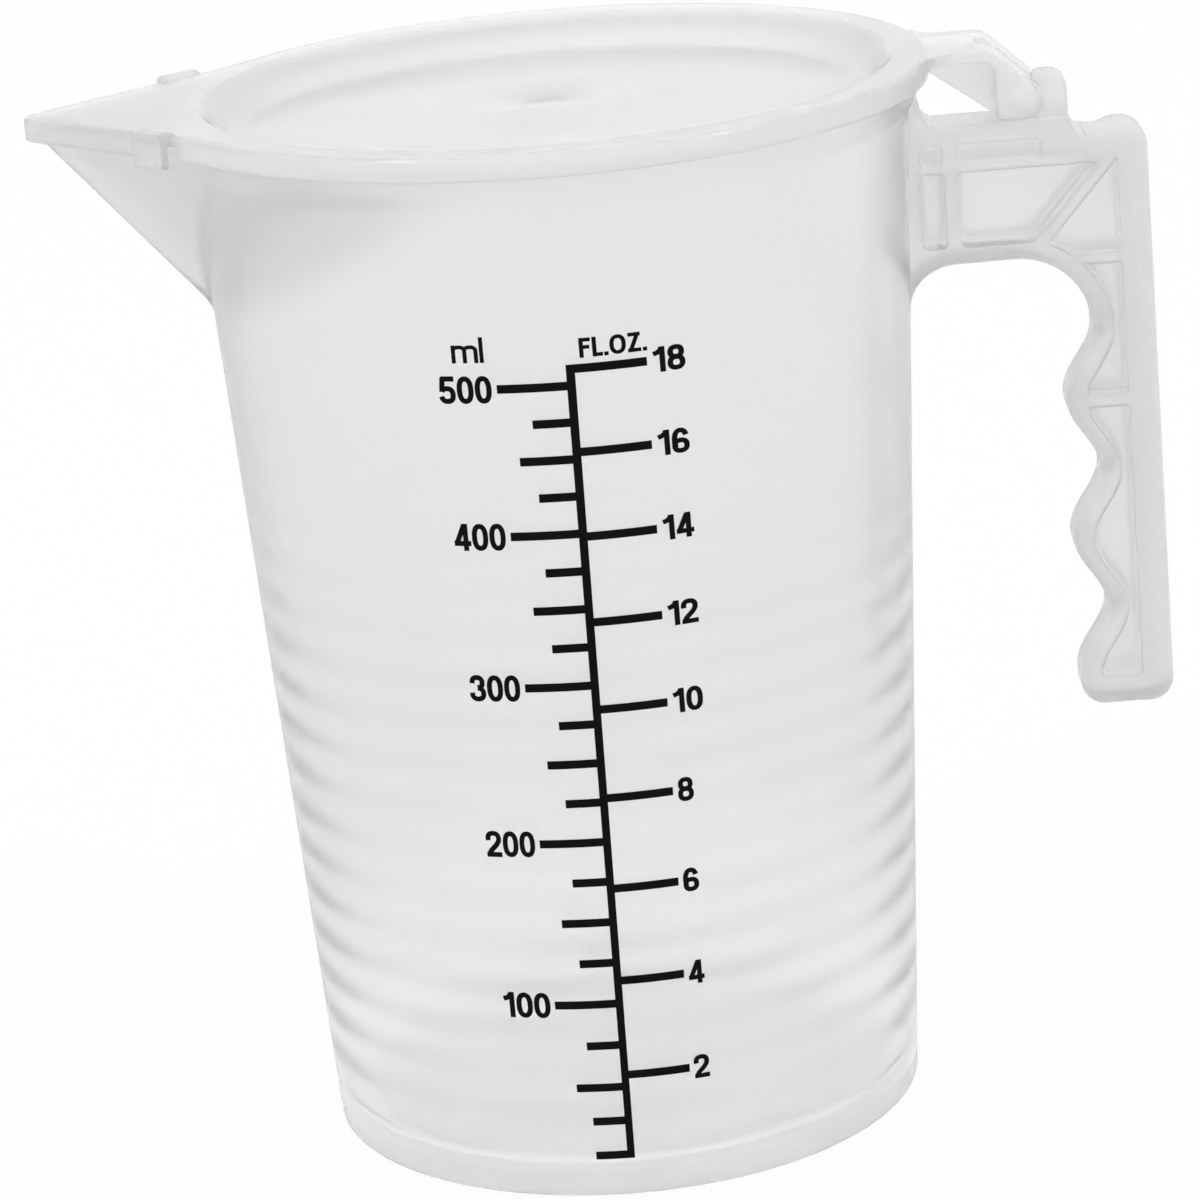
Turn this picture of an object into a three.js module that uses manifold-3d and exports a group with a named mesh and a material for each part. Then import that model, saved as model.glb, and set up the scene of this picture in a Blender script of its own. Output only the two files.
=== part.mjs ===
// A 500 ml measuring jug with a hinged lid: jug, lid and printed scale.
// Millimetres, +Z up. The origin is the middle of the base, the spout points to -X, the handle to +X
// and the printed scale faces -Y.
import * as THREE from 'three';
import { mergeVertices } from 'three/addons/utils/BufferGeometryUtils.js';
import { ConvexGeometry } from 'three/addons/geometries/ConvexGeometry.js';
import Module from 'manifold-3d';

// Jug
const baseRadius = 38.0;
const wallSlope = 0.053;
const wall = 1.5;
const floorThickness = 3.35;
const floorRound = 3.0;
const footRound = 0.7;
const jugHeight = 132.9;
const collarHeight = 5.8;
const collarStep = 1.0;
const collarChamfer = 2.0;

// Spout
const spoutHalfAngle = THREE.MathUtils.degToRad(43.5);
const spoutReach = 61.8;
const spoutNose = 1.8;
const spoutDrop = 25.2;
const spoutLip = 0.9;

// Lid
const lidClearance = 0.3;
const lidPlate = 1.3;
const lidWall = 1.2;
const skirtDepth = 1.75;
const dishDepth = 3.8;
const dishRun = 6.2;
const dishShoulderRun = 1.55;
const dishShoulderDrop = 0.95;
const dishToe = 4.1;
const dishLean = 0.5;

// Snap clips beside the root of the beak
const clipFromAxis = 47.0;
const clipLength = 5.2;
const clipWall = 1.4;
const clipGap = 0.4;
const clipSlot = 0.7;
const clipDrop = 0.9;
const clipCrown = 0.5;

// Handle
const handleWidth = 9.2;
const handleWeb = 5.0;
const deckDrop = 8.2;
const deckFillet = 2.0;
const deckFilletRise = 3.2;
const armDepth = 17.4;
const armFillet = 5.5;
const gripReach = 27.85;
const gripLength = 59.3;
const gripThickness = 7.9;
const gripFillet = 9.8;
const gripRound = 3.0;
const waveDepth = 3.9;
const wavePitch = 18.2;
const fingerHollows = 3;
const thumbRound = 3.0;
const thumbDrop = 1.3;
const saddleDrop = 2.3;
const saddleSetback = 7.1;

// Flanges, ribs and pockets of the handle
const deckFlange = 2.0;
const armFlange = 2.1;
const gripFlange = 2.5;
const spine = 4.0;
const ribThickness = 1.6;
const postRibOffset = 2.4;
const shelfRibDrop = 4.9;
const shelfStep = 0.8;
const braceFoot = 14.0;
const braceAngle = THREE.MathUtils.degToRad(48.3);
const gripPocketDrop = 1.2;
const gripPocketEnd = 4.0;

// Hinge
const hingeReach = 13.0;
const hingeRise = 3.2;
const barRadius = 1.5;
const barClearance = 0.1;
const hookWidth = 3.5;
const hookThickness = 3.7;
const hookRise = 2.4;
const hookRound = 2.0;
const hookTip = 1.6;
const postSetback = 3.4;
const lipAngle = THREE.MathUtils.degToRad(55);
const mouthAngle = THREE.MathUtils.degToRad(-135);
const knuckleRadius = 2.0;
const tongueWidth = 16.0;
const tongueFillet = 4.0;
const tongueFall = THREE.MathUtils.degToRad(42.4);
const tongueWeb = 1.5;
const webToe = 3.1;
const webRise = 0.4;
const cheekReach = 3.85;
const cheekWall = 1.5;
const hingeSideGap = 0.3;
const slotMargin = 0.6;

// Printed scale
const scaleShift = 0.93;
const scaleLean = THREE.MathUtils.degToRad(0.48);
const inkGap = 0.05;
const inkThickness = 0.12;
const spineWidth = 1.1;
const tickHeight = 1.05;
const hundredTick = 8.8;
const fiftyTick = 6.85;
const smallTick = 4.95;
const ounceTick = 9.0;
const fluidOunce = 28.413;
const cubicPerMillilitre = 1000;
const fullScale = 500;
const scaleStep = 25;
const lastStep = 50;
const lowMarks = [30, 10];
const fullOunces = 18;
const ounceStep = 2;
const inkMargin = 2.0;

// Facets
const roundSteps = 96;
const arcSteps = 8;
const noseSteps = 6;
const waveSteps = 8;
const heelSteps = 2;
const cutMargin = 2.0;

// Sizes that follow from the ones above
const wallRadius = (z) => baseRadius + wallSlope * z;
const innerRadius = (z) => wallRadius(z) - wall;
const rimRadius = wallRadius(jugHeight);
const collarRadius = rimRadius + collarStep;
const collarBottom = jugHeight - collarHeight;
const lidUnder = jugHeight + lidClearance;
const lidTop = lidUnder + lidPlate;
const skirtBottom = lidUnder - skirtDepth;
const skirtInner = collarRadius + lidClearance;
const skirtOuter = skirtInner + lidWall;
const beakOffset = lidClearance + lidWall;
const deckZ = jugHeight - deckDrop;
const underZ = deckZ - armDepth;
const backX = collarRadius + gripReach;
const gripX = backX - gripThickness;
const gripBottom = underZ - gripLength;
const pivotX = collarRadius + hingeReach;
const pivotZ = deckZ + hingeRise;
const hookBore = barRadius + barClearance;
const forkGap = hookWidth / 2 + hingeSideGap;

const wasm = await Module();
wasm.setup();

// A closed three.js geometry as a solid that can be joined and cut
function solid(geometry) {
  const bare = geometry.index ? geometry.toNonIndexed() : geometry.clone();
  bare.deleteAttribute('normal');
  bare.deleteAttribute('uv');
  const merged = mergeVertices(bare);
  const index = merged.index.array;
  const triangles = [];
  for (let i = 0; i < index.length; i += 3) {
    const [a, b, c] = [index[i], index[i + 1], index[i + 2]];
    if (a !== b && b !== c && c !== a) {
      triangles.push(a, b, c);
    }
  }
  const vertProperties = new Float32Array(merged.attributes.position.array);
  const triVerts = new Uint32Array(triangles);
  return new wasm.Manifold(new wasm.Mesh({ numProp: 3, vertProperties, triVerts }));
}

function join(parts) {
  return parts.reduce((whole, part) => whole.add(part));
}

// A solid of revolution about Z from radius and height pairs, listed from the bottom up on the outside
function turned(profile) {
  const points = profile.map(([radius, height]) => new THREE.Vector2(radius, height));
  const geometry = new THREE.LatheGeometry(points, roundSteps);
  return solid(geometry.rotateX(Math.PI / 2));
}

// An outline in X and Y raised from one height to another
function raised(shape, bottom, top) {
  const geometry = new THREE.ExtrudeGeometry(shape, { depth: top - bottom, bevelEnabled: false });
  return solid(geometry.translate(0, 0, bottom));
}

// An outline in X and Z that runs from one Y to another
function sideways(shape, fromY, toY) {
  const settings = { depth: toY - fromY, bevelEnabled: false, curveSegments: arcSteps };
  const geometry = new THREE.ExtrudeGeometry(shape, settings).rotateX(Math.PI / 2);
  return solid(geometry.translate(0, toY, 0));
}

function polygon(pairs) {
  return new THREE.Shape(pairs.map(([x, y]) => new THREE.Vector2(x, y)));
}

function arcPoints(centreX, centreY, radius, from, to, steps) {
  const curve = new THREE.EllipseCurve(centreX, centreY, radius, radius, from, to, to < from);
  return curve.getPoints(steps);
}

// The wedge of the spout or beak in plan, grown outwards by an offset
function wedgePoints(offset) {
  const turn = Math.PI / 2 - spoutHalfAngle;
  const nose = arcPoints(-spoutReach, 0, spoutNose + offset, Math.PI - turn, Math.PI + turn, noseSteps);
  const apex = spoutReach + (spoutNose + offset) / Math.sin(spoutHalfAngle);
  const foot = apex * Math.cos(spoutHalfAngle);
  const rootX = foot * Math.cos(spoutHalfAngle) - apex;
  const rootY = foot * Math.sin(spoutHalfAngle);
  return [new THREE.Vector2(rootX, rootY), ...nose, new THREE.Vector2(rootX, -rootY)];
}

function wedge(offset, bottom, top) {
  return raised(new THREE.Shape(wedgePoints(offset)), bottom, top);
}

// The round rim and the wedge together
function rimBlock(radius, offset, bottom, top) {
  const disc = turned([[0, bottom], [radius, bottom], [radius, top], [0, top]]);
  return disc.add(wedge(offset, bottom, top));
}

// The spout narrows from its lip to a point on the wall
function spoutCone(offset, keelX, keelZ) {
  const lipZ = jugHeight - spoutLip;
  const lip = wedgePoints(offset).map((point) => new THREE.Vector3(point.x, point.y, lipZ));
  return solid(new ConvexGeometry([...lip, new THREE.Vector3(keelX, 0, keelZ)]));
}

function jugShell() {
  const foot = arcPoints(baseRadius - footRound, footRound, footRound, -Math.PI / 2, 0, arcSteps);
  const collarFoot = collarBottom + collarChamfer;
  const outer = turned([
    [0, 0],
    ...foot.map((point) => [point.x, point.y]),
    [wallRadius(collarBottom), collarBottom],
    [collarRadius, collarFoot],
    [collarRadius, jugHeight],
    [0, jugHeight],
  ]);
  const keelZ = jugHeight - spoutDrop;
  const spout = spoutCone(0, -wallRadius(keelZ), keelZ);
  const lip = wedge(0, jugHeight - spoutLip, jugHeight);
  return join([outer, spout, lip]);
}

function jugHollow() {
  const roundCentre = innerRadius(floorThickness) - floorRound;
  const corner = arcPoints(roundCentre, floorThickness + floorRound, floorRound, -Math.PI / 2, 0, arcSteps);
  const above = jugHeight + cutMargin;
  const cup = turned([
    [0, floorThickness],
    ...corner.map((point) => [point.x, point.y]),
    [innerRadius(above), above],
    [0, above],
  ]);
  const keelZ = jugHeight - spoutDrop;
  const keelAngle = Math.atan2(spoutDrop - spoutLip, spoutReach + spoutNose - wallRadius(keelZ));
  const rise = (wall * (1 - Math.sin(keelAngle))) / Math.cos(keelAngle);
  const channel = spoutCone(-wall, -innerRadius(keelZ + rise), keelZ + rise);
  const mouth = wedge(-wall, jugHeight - spoutLip, above);
  return join([cup, channel, mouth]);
}

// The wavy inner edge of the grip, below its first finger hollow
function gripEdge(z, inset) {
  const phase = (2 * Math.PI * (underZ - gripFillet - z)) / wavePitch;
  return gripX + inset - (waveDepth * (1 - Math.cos(phase))) / 2;
}

function gripEdgePoints(fromZ, toZ, inset) {
  const steps = Math.max(1, Math.round((waveSteps * Math.abs(toZ - fromZ)) / wavePitch)) * 2;
  return Array.from({ length: steps + 1 }, (_, i) => {
    const z = fromZ + ((toZ - fromZ) * i) / steps;
    return new THREE.Vector2(gripEdge(z, inset), z);
  });
}

// The handle in side view: arm, grip with three finger hollows, thumb rest and deck
function handleOutline() {
  const filletZ = underZ - armFillet;
  const half = handleWidth / 2;
  const rootX = Math.sqrt(wallRadius(filletZ) ** 2 - half ** 2);
  const collarX = Math.sqrt(collarRadius ** 2 - half ** 2);
  const lastCrest = underZ - gripFillet - (fingerHollows - 0.5) * wavePitch;
  const crestX = gripX - waveDepth;
  const endZ = Math.max(gripBottom + gripRound, lastCrest);
  const saddleZ = deckZ - saddleDrop;
  const thumbZ = deckZ - thumbDrop;
  const saddleX = backX - saddleSetback;
  const hookBack = pivotX + hookBore + hookThickness;
  const thumbX = backX - thumbRound;
  const shape = new THREE.Shape();
  shape.moveTo(rootX - wall, filletZ);
  shape.lineTo(rootX, filletZ);
  shape.absarc(rootX + armFillet, filletZ, armFillet, Math.PI, Math.PI / 2, true);
  shape.lineTo(gripX - gripFillet, underZ);
  shape.absarc(gripX - gripFillet, underZ - gripFillet, gripFillet, Math.PI / 2, 0, true);
  for (const point of gripEdgePoints(underZ - gripFillet, endZ, 0)) {
    shape.lineTo(point.x, point.y);
  }
  shape.absarc(crestX + gripRound, gripBottom + gripRound, gripRound, Math.PI, 1.5 * Math.PI, false);
  shape.absarc(backX - gripRound, gripBottom + gripRound, gripRound, -Math.PI / 2, 0, false);
  shape.absarc(thumbX, thumbZ - thumbRound, thumbRound, 0, Math.PI / 2, false);
  const ease = (thumbX - saddleX) / 2;
  shape.bezierCurveTo(thumbX - ease, thumbZ, saddleX + ease, saddleZ, saddleX, saddleZ);
  shape.quadraticCurveTo(hookBack, saddleZ, hookBack, deckZ);
  shape.lineTo(collarX + deckFillet, deckZ);
  const crownZ = deckZ + deckFilletRise;
  shape.absellipse(collarX + deckFillet, crownZ, deckFillet, deckFilletRise, 1.5 * Math.PI, Math.PI, true);
  shape.lineTo(rootX - wall, crownZ);
  return shape;
}

// The shallow steps above the shelf rib, in side view
function shelfPockets() {
  const left = collarRadius - wall / 2;
  const ribLeft = collarRadius + postRibOffset;
  const ribRight = ribLeft + ribThickness;
  const right = pivotX + hookBore;
  const top = deckZ - deckFlange;
  const shelfTop = deckZ - shelfRibDrop;
  return [
    polygon([[left, shelfTop], [ribLeft, shelfTop], [ribLeft, top], [left, top]]),
    polygon([[ribRight, shelfTop], [right, shelfTop], [right, top], [ribRight, top]]),
  ];
}

// The pockets that leave flanges and ribs on a web, in side view
function handlePockets() {
  const left = collarRadius - wall / 2;
  const ribLeft = collarRadius + postRibOffset;
  const ribRight = ribLeft + ribThickness;
  const shelf = deckZ - shelfRibDrop - ribThickness / 2;
  const bottom = underZ + armFlange;
  const spineX = backX - spine;
  const lean = 1 / Math.tan(braceAngle);
  const braceSide = ribThickness / 2 / Math.sin(braceAngle);
  const braceX = (z) => collarRadius + braceFoot + (z - bottom) * lean;
  const braceTop = bottom + (spineX - braceX(bottom) - braceSide) / lean;
  const flangeRadius = gripFillet + gripFlange;
  const centreX = gripX - gripFillet;
  const centreZ = underZ - gripFillet;
  const heelAngle = Math.acos(Math.min(1, (braceX(bottom) + braceSide - centreX) / flangeRadius));
  const heelStart = Math.asin(gripFillet / flangeRadius);
  const heel = arcPoints(centreX, centreZ, flangeRadius, heelStart, heelAngle, heelSteps);
  const crestZ = underZ - gripFillet - wavePitch / 2;
  const upperTop = underZ - gripPocketDrop;
  const upperAngle = Math.asin((upperTop - centreZ) / flangeRadius);
  const upperArc = arcPoints(centreX, centreZ, flangeRadius, upperAngle, 0, arcSteps / 2);
  const crossTop = crestZ + ribThickness / 2;
  const crossBottom = crestZ - ribThickness / 2;
  const pocketEnd = gripBottom + gripPocketEnd;
  return [
    polygon([[left, bottom], [ribLeft, bottom], [ribLeft, shelf], [left, shelf]]),
    polygon([
      [ribRight, bottom],
      [braceX(bottom) - braceSide, bottom],
      [braceX(shelf) - braceSide, shelf],
      [ribRight, shelf],
    ]),
    new THREE.Shape([
      new THREE.Vector2(spineX, underZ),
      new THREE.Vector2(spineX, braceTop),
      new THREE.Vector2(braceX(bottom) + braceSide, bottom),
      ...heel.reverse(),
    ]),
    new THREE.Shape([
      new THREE.Vector2(spineX, crossTop),
      new THREE.Vector2(spineX, upperTop),
      ...upperArc,
      ...gripEdgePoints(centreZ, crossTop, gripFlange).slice(1),
    ]),
    new THREE.Shape([
      new THREE.Vector2(spineX, pocketEnd),
      new THREE.Vector2(spineX, crossBottom),
      ...gripEdgePoints(crossBottom, pocketEnd, gripFlange),
    ]),
  ];
}

// The hook that holds the lid's bar, open towards the jug and upwards
function hookOutline() {
  const left = pivotX - postSetback;
  const right = pivotX + hookBore + hookThickness;
  const top = pivotZ + hookRise;
  const foot = deckZ - deckFlange;
  const mouth = new THREE.Vector2(Math.cos(mouthAngle), Math.sin(mouthAngle)).multiplyScalar(hookBore);
  const shape = new THREE.Shape();
  shape.moveTo(left, foot);
  shape.lineTo(right, foot);
  shape.lineTo(right, top - hookRound);
  shape.absarc(right - hookRound, top - hookRound, hookRound, 0, Math.PI / 2, false);
  shape.lineTo(pivotX + hookTip, top);
  shape.absarc(pivotX, pivotZ, hookBore, lipAngle, mouthAngle, true);
  shape.lineTo(left, pivotZ + mouth.y - (left - pivotX - mouth.x));
  return shape;
}

// Cuts outlines into both sides of the handle, down to a distance from its middle plane
function pocketed(handle, outlines, floorY) {
  const outside = handleWidth / 2 + cutMargin;
  let rest = handle;
  for (const outline of outlines) {
    rest = rest.subtract(sideways(outline, floorY, outside));
    rest = rest.subtract(sideways(outline, -outside, -floorY));
  }
  return rest;
}

function jugBody() {
  const half = handleWidth / 2;
  const plate = sideways(handleOutline(), -half, half);
  const ribbed = pocketed(plate, handlePockets(), handleWeb / 2);
  const handle = pocketed(ribbed, shelfPockets(), half - shelfStep);
  const hook = sideways(hookOutline(), -hookWidth / 2, hookWidth / 2);
  return join([jugShell(), handle, hook]).subtract(jugHollow());
}

// The dish of the lid: its upper surface from the rim down to the flat floor
function dishCurve() {
  const edge = innerRadius(jugHeight) - lidClearance;
  const floorZ = lidTop - dishDepth;
  const curve = new THREE.CubicBezierCurve(
    new THREE.Vector2(edge, lidTop),
    new THREE.Vector2(edge - dishShoulderRun, lidTop - dishShoulderDrop),
    new THREE.Vector2(edge - dishRun + dishToe, floorZ),
    new THREE.Vector2(edge - dishRun, floorZ),
  );
  return curve.getPoints(arcSteps).map((point) => [point.x, point.y]);
}

// The lid's top plate with its skirt, dish and beak
function lidShell() {
  const block = rimBlock(skirtOuter, beakOffset, skirtBottom, lidTop);
  const under = rimBlock(skirtInner, lidClearance, skirtBottom - cutMargin, lidUnder);
  const upper = dishCurve();
  const lower = upper.map(([radius, z]) => [radius - dishLean, z - lidPlate]);
  const bowl = turned([
    [0, lower.at(-1)[1]],
    ...lower.slice().reverse(),
    [lower[0][0], lidTop],
    [0, lidTop],
  ]);
  const recess = turned([
    [0, upper.at(-1)[1]],
    ...upper.slice().reverse(),
    [upper[0][0], lidTop + cutMargin],
    [0, lidTop + cutMargin],
  ]);
  return block.subtract(under).add(bowl).subtract(recess);
}

// A box given by its size and its least corner
function block(size, corner) {
  const geometry = new THREE.BoxGeometry(...size);
  return geometry.translate(...corner.map((low, i) => low + size[i] / 2));
}

// One snap clip: a tab that hangs outside the skirt, with a slot at either side
function withClip(lid, side) {
  const apex = spoutReach + (spoutNose + beakOffset) / Math.sin(spoutHalfAngle);
  const along = apex - clipFromAxis;
  const place = (geometry) => {
    geometry.rotateZ(side * spoutHalfAngle);
    geometry.translate(-clipFromAxis, side * along * Math.tan(spoutHalfAngle), 0);
    return solid(geometry);
  };
  const clipTop = lidTop + clipCrown;
  const clipBottom = skirtBottom - clipDrop;
  const gapLength = clipLength + 2 * clipSlot;
  const outside = clipGap + clipWall;
  const sized = (length, fromOut, toOut, bottom, top) => {
    const low = side > 0 ? fromOut : -toOut;
    return block([length, toOut - fromOut, top - bottom], [-length / 2, low, bottom]);
  };
  const gap = place(sized(gapLength, -lidWall - lidClearance / 2, cutMargin, clipBottom, lidUnder));
  const tab = place(sized(clipLength, clipGap, outside, clipBottom, clipTop));
  const bridge = place(sized(clipLength, -lidWall, outside, lidUnder, clipTop));
  return join([lid.subtract(gap), tab, bridge]);
}

// The hinge tongue, level with the lid and then falling to the bar
function tongue() {
  const across = new THREE.Vector2(Math.sin(tongueFall), Math.cos(tongueFall));
  const run = new THREE.Vector2(Math.cos(tongueFall), -Math.sin(tongueFall));
  const touch = new THREE.Vector2(pivotX, pivotZ).addScaledVector(across, knuckleRadius);
  const bendX = touch.x - (lidTop - touch.y) / Math.tan(tongueFall);
  const half = tongueWidth / 2;
  const rootX = Math.sqrt((skirtOuter + tongueFillet) ** 2 - (half + tongueFillet) ** 2);
  const sweep = Math.atan2(half + tongueFillet, rootX);
  const turn = lidPlate * Math.tan(tongueFall / 2);
  const plate = polygon([
    [rootX, lidUnder],
    [bendX - turn, lidUnder],
    [touch.x - across.x * lidPlate, touch.y - across.y * lidPlate],
    [touch.x, touch.y],
    [bendX, lidTop],
    [rootX, lidTop],
  ]);
  const knuckle = new THREE.Shape().absarc(pivotX, pivotZ, knuckleRadius, 0, 2 * Math.PI, false);
  const bar = new THREE.Shape().absarc(pivotX, pivotZ, barRadius, 0, 2 * Math.PI, false);
  const footZ = pivotZ - knuckleRadius + webRise;
  const toeX = pivotX - knuckleRadius - webToe + run.x;
  const web = polygon([
    [skirtOuter, lidUnder],
    [skirtOuter, lidUnder - lidPlate],
    [toeX, footZ],
    [pivotX, footZ],
    [pivotX, pivotZ],
    [bendX - turn, lidUnder],
  ]);
  const cheekX = pivotX - cheekReach;
  const kneeZ = Math.min(lidTop, touch.y + (touch.x - cheekX) * Math.tan(tongueFall));
  const cheek = polygon([
    [cheekX, kneeZ],
    [cheekX, pivotZ - knuckleRadius],
    [pivotX, pivotZ - knuckleRadius],
    [pivotX, pivotZ],
    [touch.x, touch.y],
  ]);
  const filletY = half + tongueFillet;
  const quarter = Math.PI / 2;
  const root = new THREE.Shape([
    ...arcPoints(rootX, -filletY, tongueFillet, Math.PI - sweep, quarter, arcSteps),
    ...arcPoints(rootX, filletY, tongueFillet, -quarter, sweep - Math.PI, arcSteps),
  ]);
  const webOuter = forkGap + tongueWeb;
  const slotStart = postSetback + hookThickness + slotMargin;
  const slot = polygon([
    [pivotX - slotStart * run.x, pivotZ - cutMargin - knuckleRadius],
    [pivotX + slotStart, pivotZ - cutMargin - knuckleRadius],
    [pivotX + slotStart, lidTop + cutMargin],
    [pivotX - slotStart * run.x, lidTop + cutMargin],
  ]);
  const body = join([
    raised(root, lidUnder, lidTop),
    sideways(plate, -half, half),
    sideways(knuckle, -half, half),
    sideways(web, forkGap, webOuter),
    sideways(web, -webOuter, -forkGap),
    sideways(cheek, half - cheekWall, half),
    sideways(cheek, -half, cheekWall - half),
  ]);
  return body.subtract(sideways(slot, -forkGap, forkGap)).add(sideways(bar, -half, half));
}

function lidBody() {
  const clipped = [1, -1].reduce(withClip, lidShell());
  return clipped.add(tongue());
}

// Height of a volume of water in the jug, in millilitres above its floor
function levelOf(millilitres) {
  const floorRadius = innerRadius(floorThickness);
  const cube = floorRadius ** 3 + (3 * wallSlope * millilitres * cubicPerMillilitre) / Math.PI;
  return floorThickness + (Math.cbrt(cube) - floorRadius) / wallSlope;
}

function tickLength(volume) {
  if (volume % 100 === 0) {
    return hundredTick;
  }
  return volume % 50 === 0 ? fiftyTick : smallTick;
}

// The artwork narrows with the jug, so that its ticks get shorter towards the base
function narrowing(level) {
  return wallRadius(level) / wallRadius(levelOf(fullScale));
}

// The printed spine with its ticks, cut from a thin skin around the jug
function scalePrint() {
  const depth = collarRadius + cutMargin;
  const middle = jugHeight / 2;
  const bar = (fromX, toX, bottom, top) => {
    const upright = block([toX - fromX, depth, top - bottom], [fromX, -depth, bottom - middle]);
    return solid(upright.rotateY(scaleLean).translate(scaleShift, 0, middle));
  };
  const tick = (volume, fromX, toX) => {
    const level = levelOf(volume);
    const narrow = narrowing(level);
    return bar(fromX * narrow, toX * narrow, level - tickHeight / 2, level + tickHeight / 2);
  };
  const bars = [];
  for (let volume = fullScale; volume >= lastStep; volume -= scaleStep) {
    bars.push(tick(volume, -tickLength(volume), 0));
  }
  for (const volume of lowMarks) {
    bars.push(tick(volume, -smallTick, 0));
  }
  for (let ounces = fullOunces; ounces > 0; ounces -= ounceStep) {
    bars.push(tick(ounces * fluidOunce, 0, ounceTick));
  }
  const lowest = levelOf(Math.min(...lowMarks)) - tickHeight / 2;
  const highest = levelOf(fullOunces * fluidOunce) + tickHeight / 2;
  bars.push(bar(-spineWidth / 2, spineWidth / 2, lowest, highest));
  const skinBottom = footRound + inkMargin;
  const skinTop = collarBottom - inkMargin;
  const near = (z) => wallRadius(z) + inkGap;
  const far = (z) => near(z) + inkThickness;
  const skin = turned([
    [near(skinBottom), skinBottom],
    [far(skinBottom), skinBottom],
    [far(skinTop), skinTop],
    [near(skinTop), skinTop],
    [near(skinBottom), skinBottom],
  ]);
  return skin.intersect(join(bars));
}

function named(name, body, material) {
  const { vertProperties, triVerts } = body.getMesh();
  const geometry = new THREE.BufferGeometry();
  geometry.setAttribute('position', new THREE.BufferAttribute(vertProperties, 3));
  geometry.setIndex(new THREE.BufferAttribute(triVerts, 1));
  const mesh = new THREE.Mesh(geometry, material);
  mesh.name = name;
  return mesh;
}

const milky = new THREE.MeshStandardMaterial({ color: 0xe6e8e8, roughness: 0.35, metalness: 0.0 });
const ink = new THREE.MeshStandardMaterial({ color: 0x0c0c0d, roughness: 0.5, metalness: 0.0 });

const jug = new THREE.Group();
jug.add(named('jug_body', jugBody(), milky));
jug.add(named('lid', lidBody(), milky));
jug.add(named('scale_print', scalePrint(), ink));

export default jug;
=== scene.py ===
"""Models a milky plastic measuring jug with a hinged lid and a printed scale, and lights it."""
import math

import bpy
import numpy as np
from mathutils import Matrix, Vector


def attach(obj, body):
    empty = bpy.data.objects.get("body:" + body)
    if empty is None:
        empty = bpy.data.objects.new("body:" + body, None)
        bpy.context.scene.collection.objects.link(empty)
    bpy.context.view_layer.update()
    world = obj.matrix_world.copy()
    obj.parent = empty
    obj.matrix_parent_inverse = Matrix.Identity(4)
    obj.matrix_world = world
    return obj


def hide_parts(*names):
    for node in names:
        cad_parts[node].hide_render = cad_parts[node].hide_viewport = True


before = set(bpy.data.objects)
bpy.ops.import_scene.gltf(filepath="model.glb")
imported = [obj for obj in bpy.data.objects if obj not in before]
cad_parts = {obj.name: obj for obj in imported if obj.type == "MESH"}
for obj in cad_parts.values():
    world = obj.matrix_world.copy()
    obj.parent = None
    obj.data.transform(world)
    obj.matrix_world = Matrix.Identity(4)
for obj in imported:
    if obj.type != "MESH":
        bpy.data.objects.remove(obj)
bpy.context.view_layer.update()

bl_info = {
    "name": "Measuring jug",
    "version": (1, 0, 0),
    "blender": (4, 5, 0),
    "location": "3D View > Sidebar > Jug",
    "description": "Models a milky plastic measuring jug with a hinged lid and a printed scale",
    "category": "Add Mesh",
}

MM = 0.001
TINY = 1e-6

# Facets
ROUND_STEPS = 256
ARC_STEPS = 8
CURVE_STEPS = 14
WAVE_STEPS = 20
RING_PITCH = 1.1 * MM
RIPPLE_STEP = 0.62 * MM
SPOUT_CROWDING = 0.7
EDGE_STEPS = 5
RIM_STEPS = 4
WALL_START = 4.0 * MM
WALL_STEP = 12.0 * MM
HALFWAY = 0.5

# Edges: what is shaded smooth, what is rounded, and what counts as facing across the jug
SMOOTH_ANGLE = 32.0
SHARP_ANGLE = 40.0
FACING = 0.9

# Spout and beak in plan
SPOUT_LIP = 0.9 * MM
SPOUT_FALL_OUT = 0.58655
SPOUT_FALL_IN = 0.57929
NOSE_OUT = 0.012
NOSE_IN = 0.002
NOSE_BEAK = 0.0217
SPOUT_BLEND = 1.5 * MM
BEAK_BLEND = 1.2 * MM
SPOUT_ZONE = 100.0 * MM

# Rings inside the wall: at full depth below one height and gone above another
RIPPLE_FULL = 62.0 * MM
RIPPLE_NONE = 96.0 * MM

# Small rounds of the mouldings
FOOT_ROUND = 0.7 * MM
FLOOR_ROUND = 3.0 * MM
RIM_ROUND = 0.45 * MM
COLLAR_EASE = 3.2 * MM
LID_EDGE_ROUND = 0.75 * MM
SKIRT_ROUND = 0.35 * MM


def length(label, text, default):
    """A size in metres."""
    return bpy.props.FloatProperty(
        name=label, description=text, default=default, min=0.0, precision=5, subtype="DISTANCE", unit="LENGTH"
    )


def angle(label, text, degrees):
    """An angle, given in degrees."""
    return bpy.props.FloatProperty(
        name=label, description=text, default=math.radians(degrees), subtype="ANGLE", unit="ROTATION"
    )


def share(label, text, default):
    """A number from 0 to 1."""
    return bpy.props.FloatProperty(
        name=label, description=text, default=default, min=0.0, max=1.0, subtype="FACTOR"
    )


def colour(label, text, default):
    """A linear colour with alpha."""
    return bpy.props.FloatVectorProperty(
        name=label, description=text, default=default, min=0.0, max=1.0, size=4, subtype="COLOR"
    )


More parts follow.
